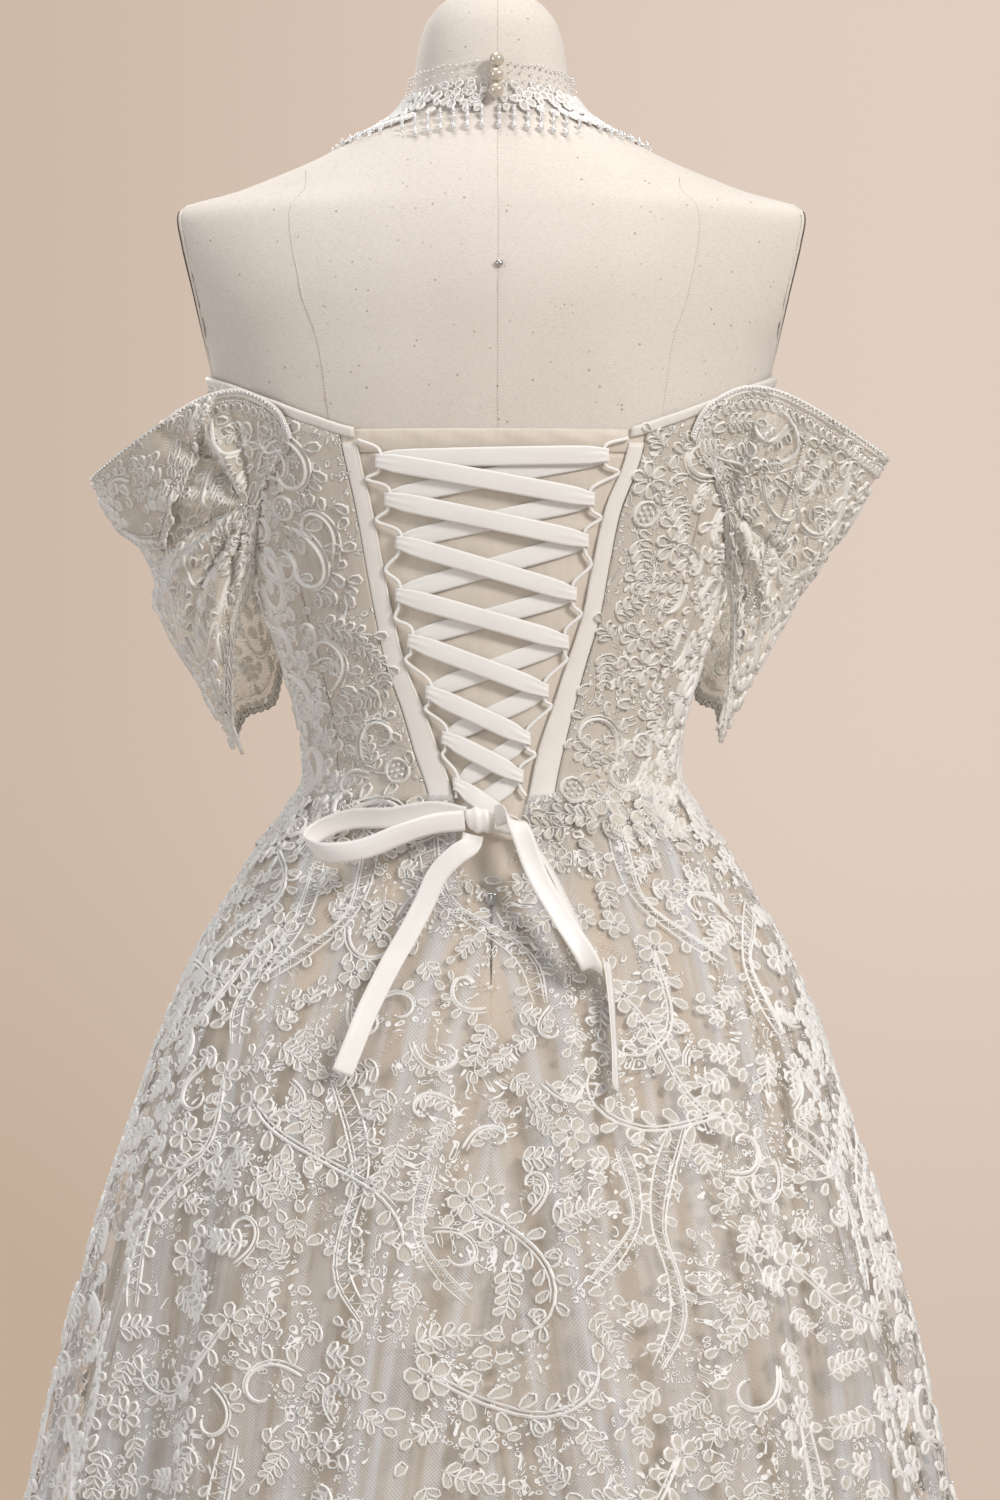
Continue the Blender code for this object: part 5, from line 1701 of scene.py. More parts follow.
@dataclass
class ModestyPanel:
    """The satin panel behind the lacing, with the soft roll along its top."""

    lift: float = 1.6
    tuck: float = 20.0
    bottom: float = 984.0
    top: float = 1268.0
    roll: float = 14.0
    wall: float = 1.2
    creases: Tuple = (
        (-0.75, 1243, 0.2, 1236, 4.5, 0.75), (0, 1230, 0.8, 1238, 5, 0.6),
        (-0.5, 1219, 0.35, 1225, 4, -0.6), (-0.8, 1204, -0.1, 1212, 5, 0.7),
        (0.1, 1206, 0.75, 1197, 4.5, 0.7), (-0.3, 1189, 0.5, 1183, 4, -0.6),
        (-0.7, 1176, 0.1, 1168, 4.5, 0.7), (0.2, 1160, 0.7, 1169, 4, 0.6),
        (-0.6, 1150, 0.4, 1156, 3.5, -0.55), (-0.5, 1136, 0.55, 1128, 4.5, 0.7),
        (-0.55, 1112, 0.1, 1120, 3.5, 0.6), (-0.1, 1104, 0.55, 1098, 4, 0.6),
        (-0.45, 1090, 0.3, 1084, 3.5, -0.5), (-0.4, 1070, 0.4, 1076, 4, 0.6),
        (0.05, 1240, -0.05, 1060, 7, 0.5),
    )

    def cloth(self, heights: Array, lift: Array, across: Array) -> Drape:
        """A cloth on the form at rows of heights, tucked under both bands."""
        level = heights[:, None]
        half = np.maximum(*(Opening.edge(side, level) for side in Side)) + self.tuck
        angle = FORM.angle_of(half * across, level)
        return Drape(FORM.lifted(angle, level, lift), across, heights)

    def build(self) -> None:
        """Makes the panel and its roll."""
        across, foot = np.linspace(-1.0, 1.0, 41), self.top - self.roll
        flat = self.cloth(np.linspace(self.bottom, foot - 0.4, 96), self.lift, across)
        show_cloth("satin_modesty_panel", creased(flat, self.creases), "cream",
                   "modesty_panel", self.wall)
        turn = np.linspace(0.0, 1.0, 13)
        bulge = np.sin(np.pi * turn)[:, None] ** 0.6 * (1 - across**4) * 1.5
        ripple = 0.22 * np.sin(across * 23.0 + 1.3 * np.sin(turn * 5.0)[:, None])
        lift = self.lift + (bulge + ripple * bulge) - 0.1
        show_cloth("satin_modesty_roll", self.cloth(foot + self.roll * turn, lift, across),
                   "cream", "modesty_top_band",
                   self.wall)


@dataclass
class Lacing:
    """Rouleau loops along both bands, and one satin ribbon laced through them."""

    cord_radius: float = 1.1
    cord_lift: float = 1.9
    turn_depth: float = 1.95
    width: float = 11.4
    pinch: float = 3.4
    pinch_reach: float = 7.0
    wall: float = 0.7
    knot: Tuple[float, float] = (6.9, 1031.0)
    starts = {Side.LEFT: 1261.5, Side.RIGHT: 1262.5}
    # Each loop's bar: its x, top and bottom; and the height where the cord meets the band.
    loops = {
        Side.LEFT: (
            (67.1, 1255.5, 1243, 1238), (61.6, 1232.6, 1220, 1213.1),
            (55, 1206.5, 1194, 1183.7), (55, 1175.4, 1162.4, 1154.2),
            (47.8, 1148.4, 1134.2, 1128.4), (37, 1116.4, 1103.6, 1098.9),
            (27.4, 1089.2, 1075.8, 1071.2), (20.7, 1060.2, 1048, 1045.5),
        ),
        Side.RIGHT: (
            (68.3, 1257.8, 1246.4, 1241.6), (59.8, 1232, 1219.6, 1214.5),
            (56.2, 1207.1, 1194.5, 1186.1), (49, 1175.2, 1162.4, 1156.6),
            (44.2, 1146.8, 1132.8, 1128.4), (32.2, 1116.4, 1104.6, 1100.6),
            (21.4, 1087, 1076, 1071.6), (17.1, 1064, 1053, 1046.5),
        ),
    }

    def build(self) -> None:
        """Makes the loops and the ribbon."""
        for side in Side:
            self.loop_cord(side)
        self.ribbon()

    def loop_cord(self, side: Side) -> None:
        """One cord that swings out from the band to each bar and back."""
        stand_off = self.cord_radius + 0.35
        start = self.starts[side]
        route = [(float(Opening.edge(side, start)) - stand_off, start)]
        for x, top, bottom, height in self.loops[side]:
            back = float(Opening.edge(side, height)) - stand_off
            route += [(x, top), (x, bottom), (back, height)]
        x, height = rounded(route, 8 * len(route)).T
        angle = side.value * DRESS.angle_of(x, height)
        build = Build()
        add_tube(build, DRESS.lifted(angle, height, self.cord_lift), DRESS.normal(angle, height),
                 self.cord_radius)
        show("rouleau_loops_" + side.word, build, "ivory",
             ["loop_braid_" + side.word])

    def bars(self, side: Side, swap: bool) -> List[Tuple[float, float, float]]:
        """The bars' x, height and side's sign, from the top; swap takes the sides in turn."""
        found = []
        for k in range(len(self.loops[side])):
            x, top, bottom, _ = self.loops[side][k]
            found.append((side.value * x, (top + bottom) / 2, side.value))
            side = Side(-side.value) if swap else side
        return found

    def stations(self) -> Array:
        """Stations of the ribbon's middle line: x, height and lift.

        The ribbon runs level between the two top bars and zigzags down from each of them,
        in front towards the right and behind towards the left.
        """
        upward, downward = self.bars(Side.RIGHT, True)[::-1], self.bars(Side.LEFT, True)
        rows = [(self.knot[0] - 9.4, self.knot[1] + 6.0, self.cord_lift + self.turn_depth)]
        for going, bars in ((1.0, upward), (-1.0, downward)):
            for bar in bars:
                x, height, sign = bar
                front = rows[-1][2] > self.cord_lift and bar is not downward[0]
                for turn in np.linspace(0.0, math.pi, 7):
                    depth = math.cos(turn) if front else -math.cos(turn)
                    rows.append((
                        x + sign * self.turn_depth * math.sin(turn),
                        height + going * 0.8 * (turn / math.pi - 0.5),
                        self.cord_lift + self.turn_depth * depth,
                    ))
        rows.append((self.knot[0] + 10.2, self.knot[1] + 4.6, self.cord_lift - self.turn_depth))
        return np.array(rows)

    def ribbon(self) -> None:
        """The ribbon, pinched upright where it passes through a loop."""
        ends, parts = self.stations(), []
        for a, b in zip(ends, ends[1:]):
            steps = 14 if math.dist(a[:2], b[:2]) > 6.0 else 1
            parts += [a + (b - a) * part / steps for part in range(steps)]
        rows = np.array(parts + [ends[-1]])
        bars = np.array([bar[:2] for side in Side for bar in self.bars(side, False)])
        away = np.linalg.norm(rows[:, None, :2] - bars, axis=-1).min(axis=1)
        upright = np.exp(-((away / self.pinch_reach) ** 2))[:, None]
        way = np.gradient(rows[:, :2], axis=0)
        aside = cols(-way[:, 1], way[:, 0]) * np.where(way[:, :1] > 0, 1.0, -1.0)
        aside = unit(unit(aside) * (1 - upright) + np.array([0.0, 1.0]) * upright)
        half = (self.width - self.pinch * upright) / 2
        shares = np.linspace(-1.0, 1.0, 9)
        x = rows[:, :1] + aside[:, :1] * half * shares
        height = rows[:, 1:2] + aside[:, 1:] * half * shares
        flute = 0.35 * upright * np.cos(shares * 7.0)
        sway = 0.16 * np.sin(np.arange(len(rows)) * 0.9)[:, None] * shares
        lift = rows[:, 2:] + 0.35 * (0.5 - shares**2) + flute + sway
        points = DRESS.lifted(DRESS.angle_of(x, height), height, lift)
        drape = Drape(points, shares, np.arange(len(rows), dtype=float))
        piece = show("satin_lacing_ribbon", drape.build(), "ivory",
                     ["lacing_ribbon"], self.wall)
        declare(drape)


@dataclass
class Bow:
    """The lacing ribbon's knot, two loops and two free tails."""

    width: float = 12.6
    wall: float = 0.7
    cup: float = 0.9
    knot: Tuple[float, float, float] = (6.9, 1031.0, 9.3)
    knot_half: Tuple[float, float, float] = (8.6, 4.9, 7.6)
    # Each route's rows: x, height, lift, the width's turn from upright, and its lean.
    routes = {
        "bow_loop_left": (
            (15.5, 1033, 8, -10, 0), (34, 1036, 9.5, -8, 5), (58, 1032, 9.5, -4, 10),
            (80, 1030, 10.5, 8, 15), (96, 1021, 14.5, 25, 20), (101, 1011, 21, 30, 20),
            (92, 1004, 26, 18, 10), (72, 1006, 27.5, -8, 0), (51, 1017, 25, -26, 0),
            (33, 1026.5, 18, -22, 0), (15.5, 1030.5, 11.8, -14, 0),
        ),
        "bow_tail_left": (
            (10.5, 1022, 9, 90, 0), (12.5, 1015, 10.5, 84, 0), (20.5, 1008.5, 11.5, 70, 0),
            (31, 997, 11, 66, 4), (39.5, 979, 9, 66, 4), (49, 961, 8, 62, 0),
            (58, 945, 8, 62, -4), (71, 918, 8.5, 68, 0), (78.5, 899, 9, 72, 4),
            (85.6, 880.6, 9.5, 74, 4),
        ),
        "bow_loop_right": (
            (-2.4, 1033, 11.8, 0, 0), (-9.5, 1032.5, 18.5, 40, 20), (-16.5, 1021, 24.5, 80, 0),
            (-25, 994, 25.5, 72, 0), (-38, 968, 25, 66, 0), (-51.5, 946, 22.5, 64, 0),
            (-57.5, 937.5, 17.5, 62, 20), (-59.5, 941.5, 11.5, 60, 40), (-55, 955, 8.5, 60, 55),
            (-44, 982, 7.7, 60, 60), (-32, 1006, 7.7, 50, 55), (-18, 1025, 7.9, 30, 30),
            (-2.2, 1031, 7.4, 0, 0),
        ),
        "bow_tail_right": (
            (-67.2, 946, 7.4, 66, 66), (-68.4, 936, 7.4, 70, 70), (-69.6, 922, 7.4, 78, 74),
            (-70.4, 908, 7.4, 84, 76), (-71, 894, 7.4, 88, 76), (-71.3, 871.8, 7.4, 90, 74),
        ),
    }

    def build(self) -> None:
        """Makes the ribbons and the knot."""
        for name, route in self.routes.items():
            x, height, lift, turn, lean = rounded(route, 9 * (len(route) - 1) + 1).T
            turn, lean = np.radians(turn), np.radians(lean)
            centre = on_skirt(x, height, lift)
            ahead = unit(np.gradient(centre, axis=0))
            hint = cols(np.sin(turn) * np.cos(lean), np.sin(lean), np.cos(turn) * np.cos(lean))
            across = unit(hint - ahead * (hint * ahead).sum(axis=1, keepdims=True))
            half = np.full(len(x), self.width / 2)
            drape = strip(centre, across, np.cross(ahead, across), half, self.cup)
            show_cloth("satin_" + name, drape, "ivory",
                       name, self.wall)
        self.make_knot()

    def make_knot(self) -> None:
        """The knot: the ribbon wrapped once round, in soft upright folds."""
        share, turn = np.linspace(-1.0, 1.0, 31)[:, None], np.linspace(0, 2 * np.pi, 41)[:-1]
        size = (1 - np.abs(share) ** 2.6) ** (1 / 2.6)
        size = size * (1 + 0.07 * np.sin(8.5 * share + 0.9 * np.sin(turn)) * size)
        a, b, c = self.knot_half
        y, z = (
            half * size * np.copysign(np.abs(wave) ** 0.85, wave)
            for half, wave in ((b, np.cos(turn)), (c, np.sin(turn)))
        )
        x = a * share + 0.16 * z + 0.5 * np.sin(turn)
        build = Build()
        build.add(cols(x, y, z) + on_skirt(*self.knot), grid_quads(31, 40, 1.0, closed=True))
        show("satin_bow_knot", build, "ivory", ["bow_knot"])


# --------------------------------------------------------------------------- the skirt
# A fold is its ridge's angle, its whole width, its lift at the hem and its starting height.
MAIN_FOLDS = (
    (11, 21, 24, 950), (33, 22, 30, 930), (56, 22, 26, 960), (79, 23, 28, 900),
    (102, 22, 24, 940), (124, 23, 30, 900), (147, 22, 24, 930), (169, 22, 28, 900),
    (-169, 21, 24, 930), (-147, 22, 30, 940), (-124, 22, 24, 900), (-102, 23, 28, 930),
    (-79, 22, 26, 900), (-56, 23, 30, 950), (-34, 21, 24, 920), (-12, 22, 28, 960),
)
# Smaller folds of the tulle alone, on top of the main ones, and troughs between them.
FINE_FOLDS = (
    (3.5, 5, 9, 900), (8.5, 4.5, -6, 860), (14.5, 6, 11, 975), (20.5, 5, -7, 930),
    (25.5, 5.5, 12, 960), (30, 4, -5, 820), (37.5, 6.5, 13, 985), (44, 6, -8, 900),
    (49, 4.5, 7, 830), (55.5, 6, 12, 940), (62, 5, -7, 890), (68.5, 6.5, 10, 960),
    (75.5, 5.5, 9, 860), (83, 6, -8, 930), (89.5, 7, 12, 970), (97, 5, 8, 840),
    (105.5, 6.5, -8, 940), (111.5, 6, 11, 950), (119, 5.5, 8, 880), (128.5, 7, 12, 960),
    (136, 5.5, -7, 900), (142, 6, 10, 930), (151.5, 7, 12, 980), (160, 5.5, -8, 870),
    (166, 6, 9, 920), (175, 7, 12, 960), (-3, 4.5, -5, 880), (-8, 5.5, 11, 970),
    (-13.5, 4.5, -6, 850), (-19, 6, 13, 955), (-26.5, 5.5, 8, 900), (-31, 4, -6, 840),
    (-35.5, 6, 12, 975), (-41.5, 5, -7, 900), (-47.5, 6.5, 12, 960), (-54, 5, 7, 830),
    (-61, 6, -8, 920), (-68, 7, 12, 965), (-76, 5.5, 9, 880), (-84.5, 7, -8, 930),
    (-92, 6.5, 12, 970), (-101, 5.5, 8, 860), (-108, 6.5, -8, 940), (-115, 7, 12, 960),
    (-123, 5.5, 8, 890), (-131.5, 6.5, 11, 955), (-139, 5.5, -7, 870), (-146.5, 7, 12, 975),
    (-155, 5.5, 9, 900), (-164, 6.5, -8, 930), (-171, 6, 11, 950),
)


def folds_lift(folds: Sequence[Sequence[float]], angle: Array, height: Array) -> Array:
    """How far folds stand out at points of the skirt."""
    angle, height = np.broadcast_arrays(np.asarray(angle, float), np.asarray(height, float))
    total = np.zeros(angle.shape)
    for ridge, width, lift, start in folds:
        away = np.minimum(np.abs(round_gap(angle - ridge)) / (width / 2), 1.0)
        fallen = np.clip((start - height) / (start - HEM_HEIGHT), 0.0, 1.0)
        total += lift * fallen**0.8 * 0.5 * (1 + np.cos(np.pi * away))
    return total


def on_skirt(x: Array, height: Array, lift: Array) -> Array:
    """Points out from the back of the bodice or of the skirt's main folds."""
    angle = DRESS.angle_of(x, height)
    return DRESS.lifted(angle, height, lift + folds_lift(MAIN_FOLDS, angle, height))


@dataclass
class Skirt:
    """Eight gores of lace on tulle over a satin lining, closed by a zip at the back."""

    seams: Tuple[float, ...] = (0.0, 55.0, 97.0, 139.0, 180.0)
    words: Tuple[str, ...] = ("back", "side_back", "side_front", "front")
    half_gap: float = 0.06
    seam_gap: float = 0.5
    overlap: float = 4.0
    lace_triangles: int = 490_000
    slider_height: float = 984.5
    inset_heights: Tuple[float, ...] = (8, 400, 700, 880, 920, 955, 1043)
    inset_depths: Tuple[float, ...] = (22, 17, 12, 6, 3.6, 2, 1.7)
    # Routes, widths and lacing gaps of the two bands.
    bands = {
        "one": (((0, 0), (3, 30), (12, 58), (30, 80), (42, 102), (44, 130)), 11.0, 3.6),
        "two": (((0, 0), (-9, 24), (-12, 50), (-2, 74), (12, 96)), 10.0, 3.4),
    }
    # Bands put on one by one: which, angle, height, turn and scale; and where the rows start.
    by_hand: Tuple = (
        ("one", 14, 1034, 176, 0.9), ("two", 27, 1030, 192, -1.0), ("one", 40, 1026, 165, -0.9),
        ("two", 50, 1008, 205, 1.0), ("one", 22, 880, 150, -1.1), ("two", 44, 850, 205, 1.15),
        ("two", 9, 850, 172, 0.9), ("one", 33, 700, 190, 1.2), ("two", 13, 640, 160, -1.2),
        ("one", 46, 480, 200, -1.3), ("one", 28, 300, 165, 1.4), ("two", 8, 220, 195, -1.4),
    )
    starts: Tuple[float, ...] = (0.0, 57.0, 116.0, 176.0, 236.0, 298.0)

    def build(self, above: LaceField) -> None:
        """Makes the skirt, whose lace keeps clear of the bodice's."""
        lace = self.lace(above)
        for side in Side:
            for number in range(len(self.words)):
                self.gore(number, side, lace)
                self.lining(number, side)
        self.zip_slider()

    def rows(self) -> Array:
        """The heights of the cloth's rows."""
        return np.concatenate([
            np.linspace(HEM_HEIGHT, 860.0, 48), np.linspace(870.0, WAIST_SEAM + self.overlap, 28)
        ])

    def across(self, start: float, end: float, side: Side, columns: int, margin: float) -> Array:
        """The angles of a gore's points; one that starts at 0 follows the opening.

        Args:
            start: its first seam's angle.
            end: its last seam's angle.
            side: the wearer's side.
            columns: how many points lie across it.
            margin: how far it stays inside the opening's edge.

        Returns:
            Angles by row and column.
        """
        heights = self.rows()
        first = np.full(len(heights), start + self.half_gap)
        if start == 0.0:
            inner = np.where(heights > Opening.HEIGHTS[0], Opening.edge(side, heights), 0.0)
            loose = 0.04 + 0.96 * eased((heights - 925.0) / 50.0)
            x = np.maximum(inner, self.seam_gap / 2 * loose) + margin * loose
            first = DRESS.angle_of(x, heights)
        shares = np.linspace(0.0, 1.0, columns)
        return side.value * (first[:, None] + (end - self.half_gap - first[:, None]) * shares)

    def lift(self, angle: Array, height: Array) -> Array:
        """How far the tulle stands out: main folds, fine folds and gathers at the waist."""
        total = folds_lift(MAIN_FOLDS, angle, height)
        total = total + folds_lift(FINE_FOLDS, angle, height) * 0.55
        waist = np.exp(-(((1012.0 - height) / 34.0) ** 2))
        total = total + waist * (0.9 * np.sin(angle * 1.13 + 2.0 * np.sin(angle * 0.29)) + 0.3)
        soft = np.clip((1030.0 - height) / 200.0, 0.0, 1.0)
        total = total + soft * 1.2 * np.sin(height / 47.0 + angle / 9.0) * np.sin(angle / 4.3)
        return total + 1.5 * eased((height - WAIST_SEAM + 8.0) / 10.0)

    def gore(self, number: int, side: Side, lace: LaceField) -> None:
        """One gore of tulle with its lace."""
        heights, span = self.rows(), self.seams[number:number + 2]
        angle = self.across(*span, side, int(span[1] - span[0]) + 2, 0.0)
        points = DRESS.lifted(angle, heights[:, None], self.lift(angle, heights[:, None]))
        drape = Drape(points, np.linspace(0, 1, points.shape[1]), heights, side.value)
        name = "skirt_%s_%s" % (self.words[number], side.word)
        sewn = show_lace(name, lace.cords(0.25, 1.3, span, side), "cord")
        show_cloth("tulle_" + name, drape, "tulle",
                   name, sewn=sewn)

    def lace(self, above: LaceField) -> LaceField:
        """Bands in an uneven ring, then vines, scrolls, flowers and sprays all round."""
        us, vs = np.linspace(-180.0, 180.0, 361), np.concatenate([[HEM_HEIGHT - 4.0], self.rows()])
        angle, height = np.meshgrid(us, vs)
        held = np.maximum(height, HEM_HEIGHT)
        points = DRESS.lifted(angle, held, self.lift(angle, held))
        drape = Drape(points - cols(0.0, 0.0, held - height), us, vs)
        lace = LaceField(drape, 23, (0.3, 1.5), True)
        lace.block(lambda u, v: Opening.holds(u, v, 1.5))
        lace.block(lambda u, v: (np.abs(u) < 0.25) & (v < Opening.HEIGHTS[0] + 2.0) & (v > 930.0))
        lace.avoid(above)
        kinds = {word: Motifs.band(*band) for word, band in self.bands.items()}
        for number, start in enumerate(self.starts):
            flip = -1.0 if number % 2 else 1.0
            for k, (word, at, height, turn, size) in enumerate(self.by_hand):
                angle = start + (at if flip > 0 else 56.0 - at) + 2.2 * math.sin(7 * k)
                height = height - 9.0 * ((k * 5 + number * 3) % 4)
                lace.put(kinds[word], round_gap(angle), height, math.radians(flip * turn),
                         flip * size, 0.06)
        m = Motifs
        lace.sow((
            Sowing([m.vine(118.0, 2.4, -3.6, 10.5), m.vine(96.0, -1.2, 5.4, 10.0)], 420, 0.10,
                   0.7),
            Sowing([m.scroll(56.0, 8.8, 0.95, 4), m.scroll(42.0, -9.2, 0.9, 3)], 1500, 0.08),
            Sowing([m.flower(5, 9.0, 5), m.flower(6, 8.0, 6)], 1100, 0.06, 3.1),
            Sowing([m.spray(4, 9.4, 9.0), m.spray(3, 9.0, -6.0)], 7000, 0.10, 1.3),
            Sowing([m.spray(2, 8.6, -3.0)], 8000, 0.11, 2.2),
            Sowing([m.leaf(10.0, 5.6), m.leaf(8.0, 5.0, 6), m.dots(16.0, 5.0, 3.0, 0.6)], 9000,
                   0.10, 3.1),
        ), self.lace_triangles,
            lambda u, v: math.pi + 1.1 * math.sin(math.radians(u * 7.0) + v / 70.0),
            lambda u, v: 0.86 + 0.56 * (WAIST_SEAM - v) / WAIST_SEAM)
        return lace

    def lining(self, number: int, side: Side) -> None:
        """One gore of the lining, hung inside the tulle."""
        heights = self.rows()
        angle = self.across(45.0 * number, 45.0 * number + 45.0, side, 31, 1.2)
        height = heights[:, None]
        inset = through(self.inset_heights, self.inset_depths, height)
        soft = np.clip((960.0 - height) / 500.0, 0.0, 1.0) * 2.5 * np.sin(angle / 5.0)
        points = DRESS.lifted(angle, height, soft - inset)
        name = "skirt_lining_%s_%s" % (self.words[number], side.word)
        show_cloth("satin_" + name, Drape(points, np.linspace(0, 1, 31), heights, side.value),
                   "lining", name)

    def zip_slider(self) -> None:
        """The slider at the foot of the opening, with its bridge and short tab."""
        height = self.slider_height
        centre = DRESS.lifted(0.0, height, self.lift(0.0, height) + 2.4)
        share, turn = np.linspace(-1, 1, 17)[:, None], np.linspace(0, 2 * np.pi, 25)[:-1]
        size = (1 - np.abs(share) ** 4) ** 0.25
        body = cols((3.2 + 0.8 * share) * size * np.cos(turn), 1.3 * size * np.sin(turn),
                    4.0 * share)
        build = Build()
        build.add(body + centre, grid_quads(17, 24, -1.0, closed=True))
        arch = np.linspace(0, np.pi, 12)
        line = centre + cols(0.0, 1.0 + 1.7 * np.sin(arch), 2.6 * np.cos(arch))
        add_tube(build, line, np.tile([1.0, 0.0, 0.0], (12, 1)), 0.55)
        tab = strip(
            centre + np.array([[0.0, 2.2, 0.4 - k] for k in range(5)]),
            np.tile([1.0, 0.0, 0.0], (5, 1)), np.tile(DRESS.normal(0.0, height), (5, 1)),
            np.array([0.8, 1.3, 1.5, 1.5, 1.1]), 0.3,
        )
        build.add(tab.points, grid_quads(5, 7))
        show("zip_slider_body", build, "metal", ["zip_slider"])


# ------------------------------------------------------------------------- the sleeves
# Lines round the arm from hem to rim, each with its share of the tip's rise: angles,
# heights and lifts from back to front.
SLEEVE_LINES = (
    (0.0, (70, 74, 78, 82, 86, 90, 94, 101, 110, 120, 131),
     (1199, 1184, 1168, 1146, 1118, 1092, 1088, 1110, 1114, 1150, 1180),
     (3.5, 10, 22, 34, 44, 50, 52, 42, 26, 18, 3)),
    (0.3, (61, 65, 70, 75, 81, 87, 93, 100, 109, 121, 134),
     (1226, 1214, 1204, 1194, 1184, 1175, 1171, 1174, 1183, 1198, 1212),
     (2.2, 6.5, 16, 30, 46, 58, 65, 58, 42, 20, 2.2)),
    (0.6, (53, 59, 65, 72, 79, 85, 92, 99, 109, 122, 136),
     (1245, 1240, 1236, 1231, 1223, 1213, 1207, 1211, 1222, 1236, 1245),
     (2, 3.5, 10, 23, 39, 53, 61, 56, 41, 18, 2)),
    (1.0, (45, 47, 56, 66, 75, 84, 91, 100, 111, 124, 137),
     (1261, 1278, 1291, 1288, 1276, 1264, 1258, 1261, 1271, 1283, 1281),
     (2, 4, 11, 26, 48, 69, 82, 72, 51, 22, 2)),
)
LEFT_CREASES = (
    (3.2, 4.2, 5.8, 6.7, 3.2, 7), (3, 4.6, 4.4, 6.8, 3, -3.5), (3.8, 4.4, 7.4, 6.8, 4.6, -8),
    (3.6, 4, 8.6, 5.6, 4.2, 5.5), (3.6, 3.8, 9.4, 4.4, 4.6, -6), (3.5, 3.5, 9.8, 3, 4.6, 5.5),
    (3.4, 3.2, 9.4, 1.6, 4.6, -6), (3.3, 3, 8.2, 0.4, 4.6, 6), (3, 2.6, 5.8, 0.4, 4, -5),
    (2.8, 2.6, 3.8, 0.6, 3.4, 4), (10.6, 2.6, 15, 4.4, 6, 4), (11, 1, 18, 3.2, 6, -4),
    (12.5, 0.4, 17, 1.8, 5, 3.5), (13, 5.2, 18.5, 4, 6, 4),
)
RIGHT_CREASES = (
    (3, 4.2, 5.6, 6.7, 3.6, 7.5), (3.6, 4.2, 6.8, 6.6, 3.8, -6), (7.2, 6.6, 6.2, 1.6, 3.6, 3),
    (8.6, 6.4, 7.6, 1.2, 4, -4.5), (3.2, 3.4, 8.4, 3, 4.4, -4), (3.2, 2.8, 8.6, 1.6, 4.4, 5),
    (3, 2.2, 7.4, 0.4, 4.2, -4.5), (9.8, 5.6, 9.2, 2.4, 4, 4), (10.6, 5.4, 14, 3.6, 6, -3.5),
    (12, 2, 17.5, 3.6, 6, 4),
)


